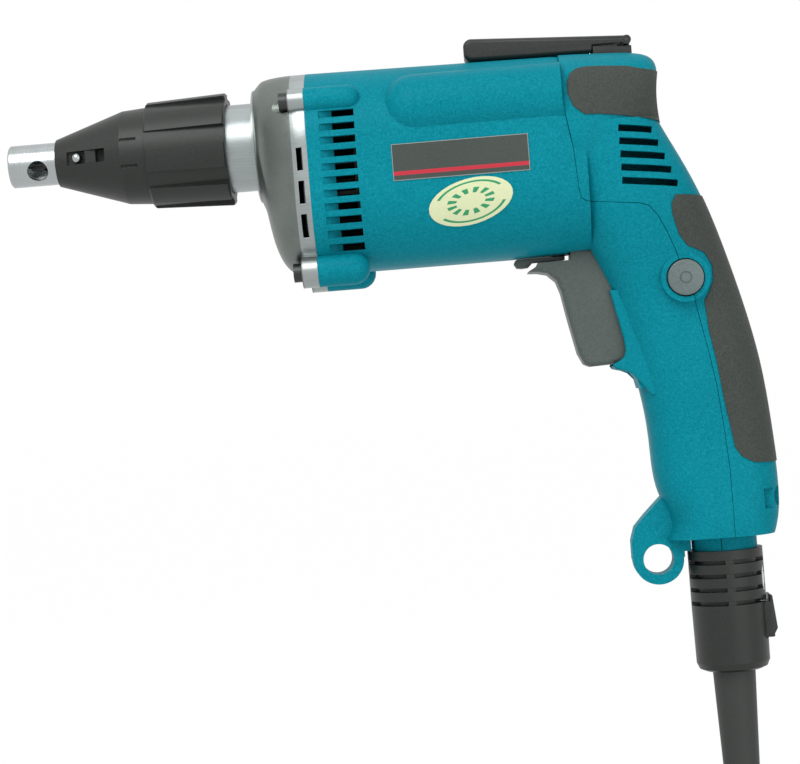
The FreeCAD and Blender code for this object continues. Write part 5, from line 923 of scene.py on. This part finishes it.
@dataclass
class TriggerCheeks:
    """Thin cheeks of the handle beside the trigger's foot, which run down into the finger lip."""

    outline: tuple[tuple[float, float], ...] = (
        (-27.6, 19.9), (-26.4, 14.2), (-25.2, 8.6), (-23.6, 1.0), (-23.3, -2.7), (-23.9, -4.9),
        (-25.6, -6.4), (-27.9, -7.4), (-28.4, -8.2), (-27.7, -9.3), (-24.6, -10.2),
        (-21.9, -11.4), (-19.6, -14.0), (-15.0, -20.0), (-13.0, -20.0), (-13.0, 19.9))
    inner: float = 11.45 * MM
    outer: float = 14.4 * MM
    rounding: float = 0.9 * MM
    segments: int = 3
    smooth: float = 40.0

    def build(self) -> None:
        """Make both cheeks as one piece, with their outer edges rounded."""
        mesh = bmesh.new()
        rims = []
        for hand in (-1, 1):
            face = mesh.faces.new([
                mesh.verts.new((x * MM, hand * self.inner, z * MM)) for x, z in self.outline])
            made = bmesh.ops.extrude_face_region(mesh, geom=[face])["geom"]
            bmesh.ops.translate(
                mesh, verts=[part for part in made if isinstance(part, bmesh.types.BMVert)],
                vec=(0.0, hand * (self.outer - self.inner), 0.0))
            rims += [part for part in made if isinstance(part, bmesh.types.BMEdge)]
        bmesh.ops.bevel(
            mesh, geom=rims, offset=self.rounding, offset_type="OFFSET", segments=self.segments,
            profile=0.5, affect="EDGES", material=-1, clamp_overlap=True)
        add_piece("trigger_cheeks", mesh, TEAL, "housing", smooth=self.smooth)


@dataclass
class Studio:
    """Camera, lamps, pale floor and white surroundings."""

    picture_width: int = 800
    sensor: float = 36.0
    focal_pixels: float = 2200.0
    metres_per_pixel: float = 0.378 * MM
    roll: float = math.radians(4.5)
    yaw: float = math.radians(2.3)
    aim: tuple[float, float, float] = (-108.22 * MM, 0.0, -7.95 * MM)
    floor_drop: float = 0.4 * MM
    floor_half: float = 40.0
    floor_white: float = 0.86
    floor_rough: float = 0.9
    floor_glow: float = 1.06
    floor_share: float = 0.9
    room_light: float = 0.40
    room_seen: float = 1.0
    target: tuple[float, float, float] = (-78.22 * MM, 0.0, 30.0 * MM)
    lamps: tuple[tuple[str, tuple[float, float, float], float, float], ...] = (
        ("key", (-0.45, -0.85, 0.85), 0.8, 9.0), ("fill", (0.55, -0.95, 0.10), 0.9, 3.2),
        ("top", (-0.05, 0.15, 0.95), 0.7, 0.8))

    def camera(self) -> None:
        """Stand the camera where the photograph was taken."""
        right = Vector((math.cos(self.yaw), math.sin(self.yaw), 0.0))
        ahead = Vector((-math.sin(self.yaw), math.cos(self.yaw), 0.0))
        up = Vector((0.0, 0.0, 1.0))
        across = right * math.cos(self.roll) - up * math.sin(self.roll)
        rise = right * math.sin(self.roll) + up * math.cos(self.roll)
        place = Vector(self.aim) - ahead * self.focal_pixels * self.metres_per_pixel
        data = bpy.data.cameras.new("camera")
        data.sensor_width = self.sensor
        data.lens = self.focal_pixels / self.picture_width * self.sensor
        data.clip_start, data.clip_end = 0.05, 100.0
        camera = bpy.data.objects.new("camera", data)
        turn = Matrix((across, rise, -ahead)).transposed().to_4x4()
        camera.matrix_world = Matrix.Translation(place) @ turn
        bpy.context.scene.collection.objects.link(camera)
        bpy.context.scene.camera = camera

    def lamp(self, name: str, place: Sequence[float], size: float, watts: float) -> None:
        """Add one soft lamp that faces the tool.

        Args:
            name: The lamp's name.
            place: Where it stands.
            size: Side of its square face.
            watts: Its power.
        """
        data = bpy.data.lights.new(name, "AREA")
        data.size = size
        data.energy = watts
        lamp = bpy.data.objects.new(name, data)
        lamp.location = place
        towards = Vector(self.target) - Vector(place)
        lamp.rotation_euler = towards.to_track_quat("-Z", "Y").to_euler()
        bpy.context.scene.collection.objects.link(lamp)

    def floor(self) -> None:
        """Lay the pale floor under the lowest piece."""
        mesh = bmesh.new()
        bmesh.ops.create_grid(mesh, x_segments=1, y_segments=1, size=self.floor_half)
        lowest = CAD_BOX[0].z - self.floor_drop
        bmesh.ops.translate(mesh, verts=mesh.verts, vec=(0.0, 0.0, lowest))
        data = bpy.data.meshes.new("floor")
        mesh.to_mesh(data)
        mesh.free()
        floor = bpy.data.objects.new("floor", data)
        bpy.context.scene.collection.objects.link(floor)
        paint = Paint("pale_floor", (self.floor_white,) * 3, self.floor_rough)
        glow = paint.node(
            "ShaderNodeEmission", {}, {"Color": (1, 1, 1, 1), "Strength": self.floor_glow})
        seen = paint.node("ShaderNodeLightPath", {}, {}, "Is Camera Ray")
        mirrored = paint.node("ShaderNodeLightPath", {}, {}, "Is Glossy Ray")
        share = seen.larger(mirrored) * self.floor_share
        blend = paint.node(
            "ShaderNodeMixShader", {},
            {0: share, 1: Term(paint, paint.shader.outputs[0]), 2: glow})
        out = paint.tree.nodes["Material Output"]
        paint.tree.links.new(blend.socket, out.inputs["Surface"])
        data.materials.append(paint.material)

    def surroundings(self) -> None:
        """Light the room evenly, and show it white to the camera and to gloss."""
        world = bpy.data.worlds.new("room")
        world.use_nodes = True
        bpy.context.scene.world = world
        tree = world.node_tree
        background = tree.nodes["Background"]
        background.inputs["Color"].default_value = (1.0, 1.0, 1.0, 1.0)
        rays = tree.nodes.new("ShaderNodeLightPath")
        seen = rays.outputs["Is Camera Ray"]
        for kind in ("Is Glossy Ray", "Is Transmission Ray"):
            either = tree.nodes.new("ShaderNodeMath")
            either.operation = "MAXIMUM"
            tree.links.new(seen, either.inputs[0])
            tree.links.new(rays.outputs[kind], either.inputs[1])
            seen = either.outputs[0]
        strength = tree.nodes.new("ShaderNodeMapRange")
        strength.inputs["To Min"].default_value = self.room_light
        strength.inputs["To Max"].default_value = self.room_seen
        tree.links.new(seen, strength.inputs["Value"])
        tree.links.new(strength.outputs[0], background.inputs["Strength"])

    def build(self) -> None:
        """Set up the whole studio."""
        self.camera()
        self.floor()
        self.surroundings()
        for name, place, size, watts in self.lamps:
            self.lamp(name, place, size, watts)
        bpy.context.scene.view_settings.view_transform = "Standard"


def dress_nodes() -> None:
    """Give every node of the frame the finish of its material slot."""
    by_slot = {finish.name: finish for finish in FINISHES}
    for row in frame["record"]["subparts"]:
        finish = NODE_FINISHES.get(row["node"], by_slot[row["material_slot"]])
        paint_object(frame["nodes"][row["node"]], finish)
    log.info("%d nodes dressed", len(frame["nodes"]))


def corners(box: Iterable[Vector]) -> list[list[float]]:
    """The corners of a box as plain lists."""
    return [list(corner) for corner in box]


def main() -> None:
    """Build the looks in order."""
    logging.basicConfig(level=logging.INFO, format="%(name)s: %(message)s")
    dress_nodes()
    CordSet().build()
    Connector().build()
    LockButton().build()
    RoundedEdges().build()
    BarrelVents().build()
    TriggerCheeks().build()
    Studio().build()


if __name__ == "__main__":
    main()
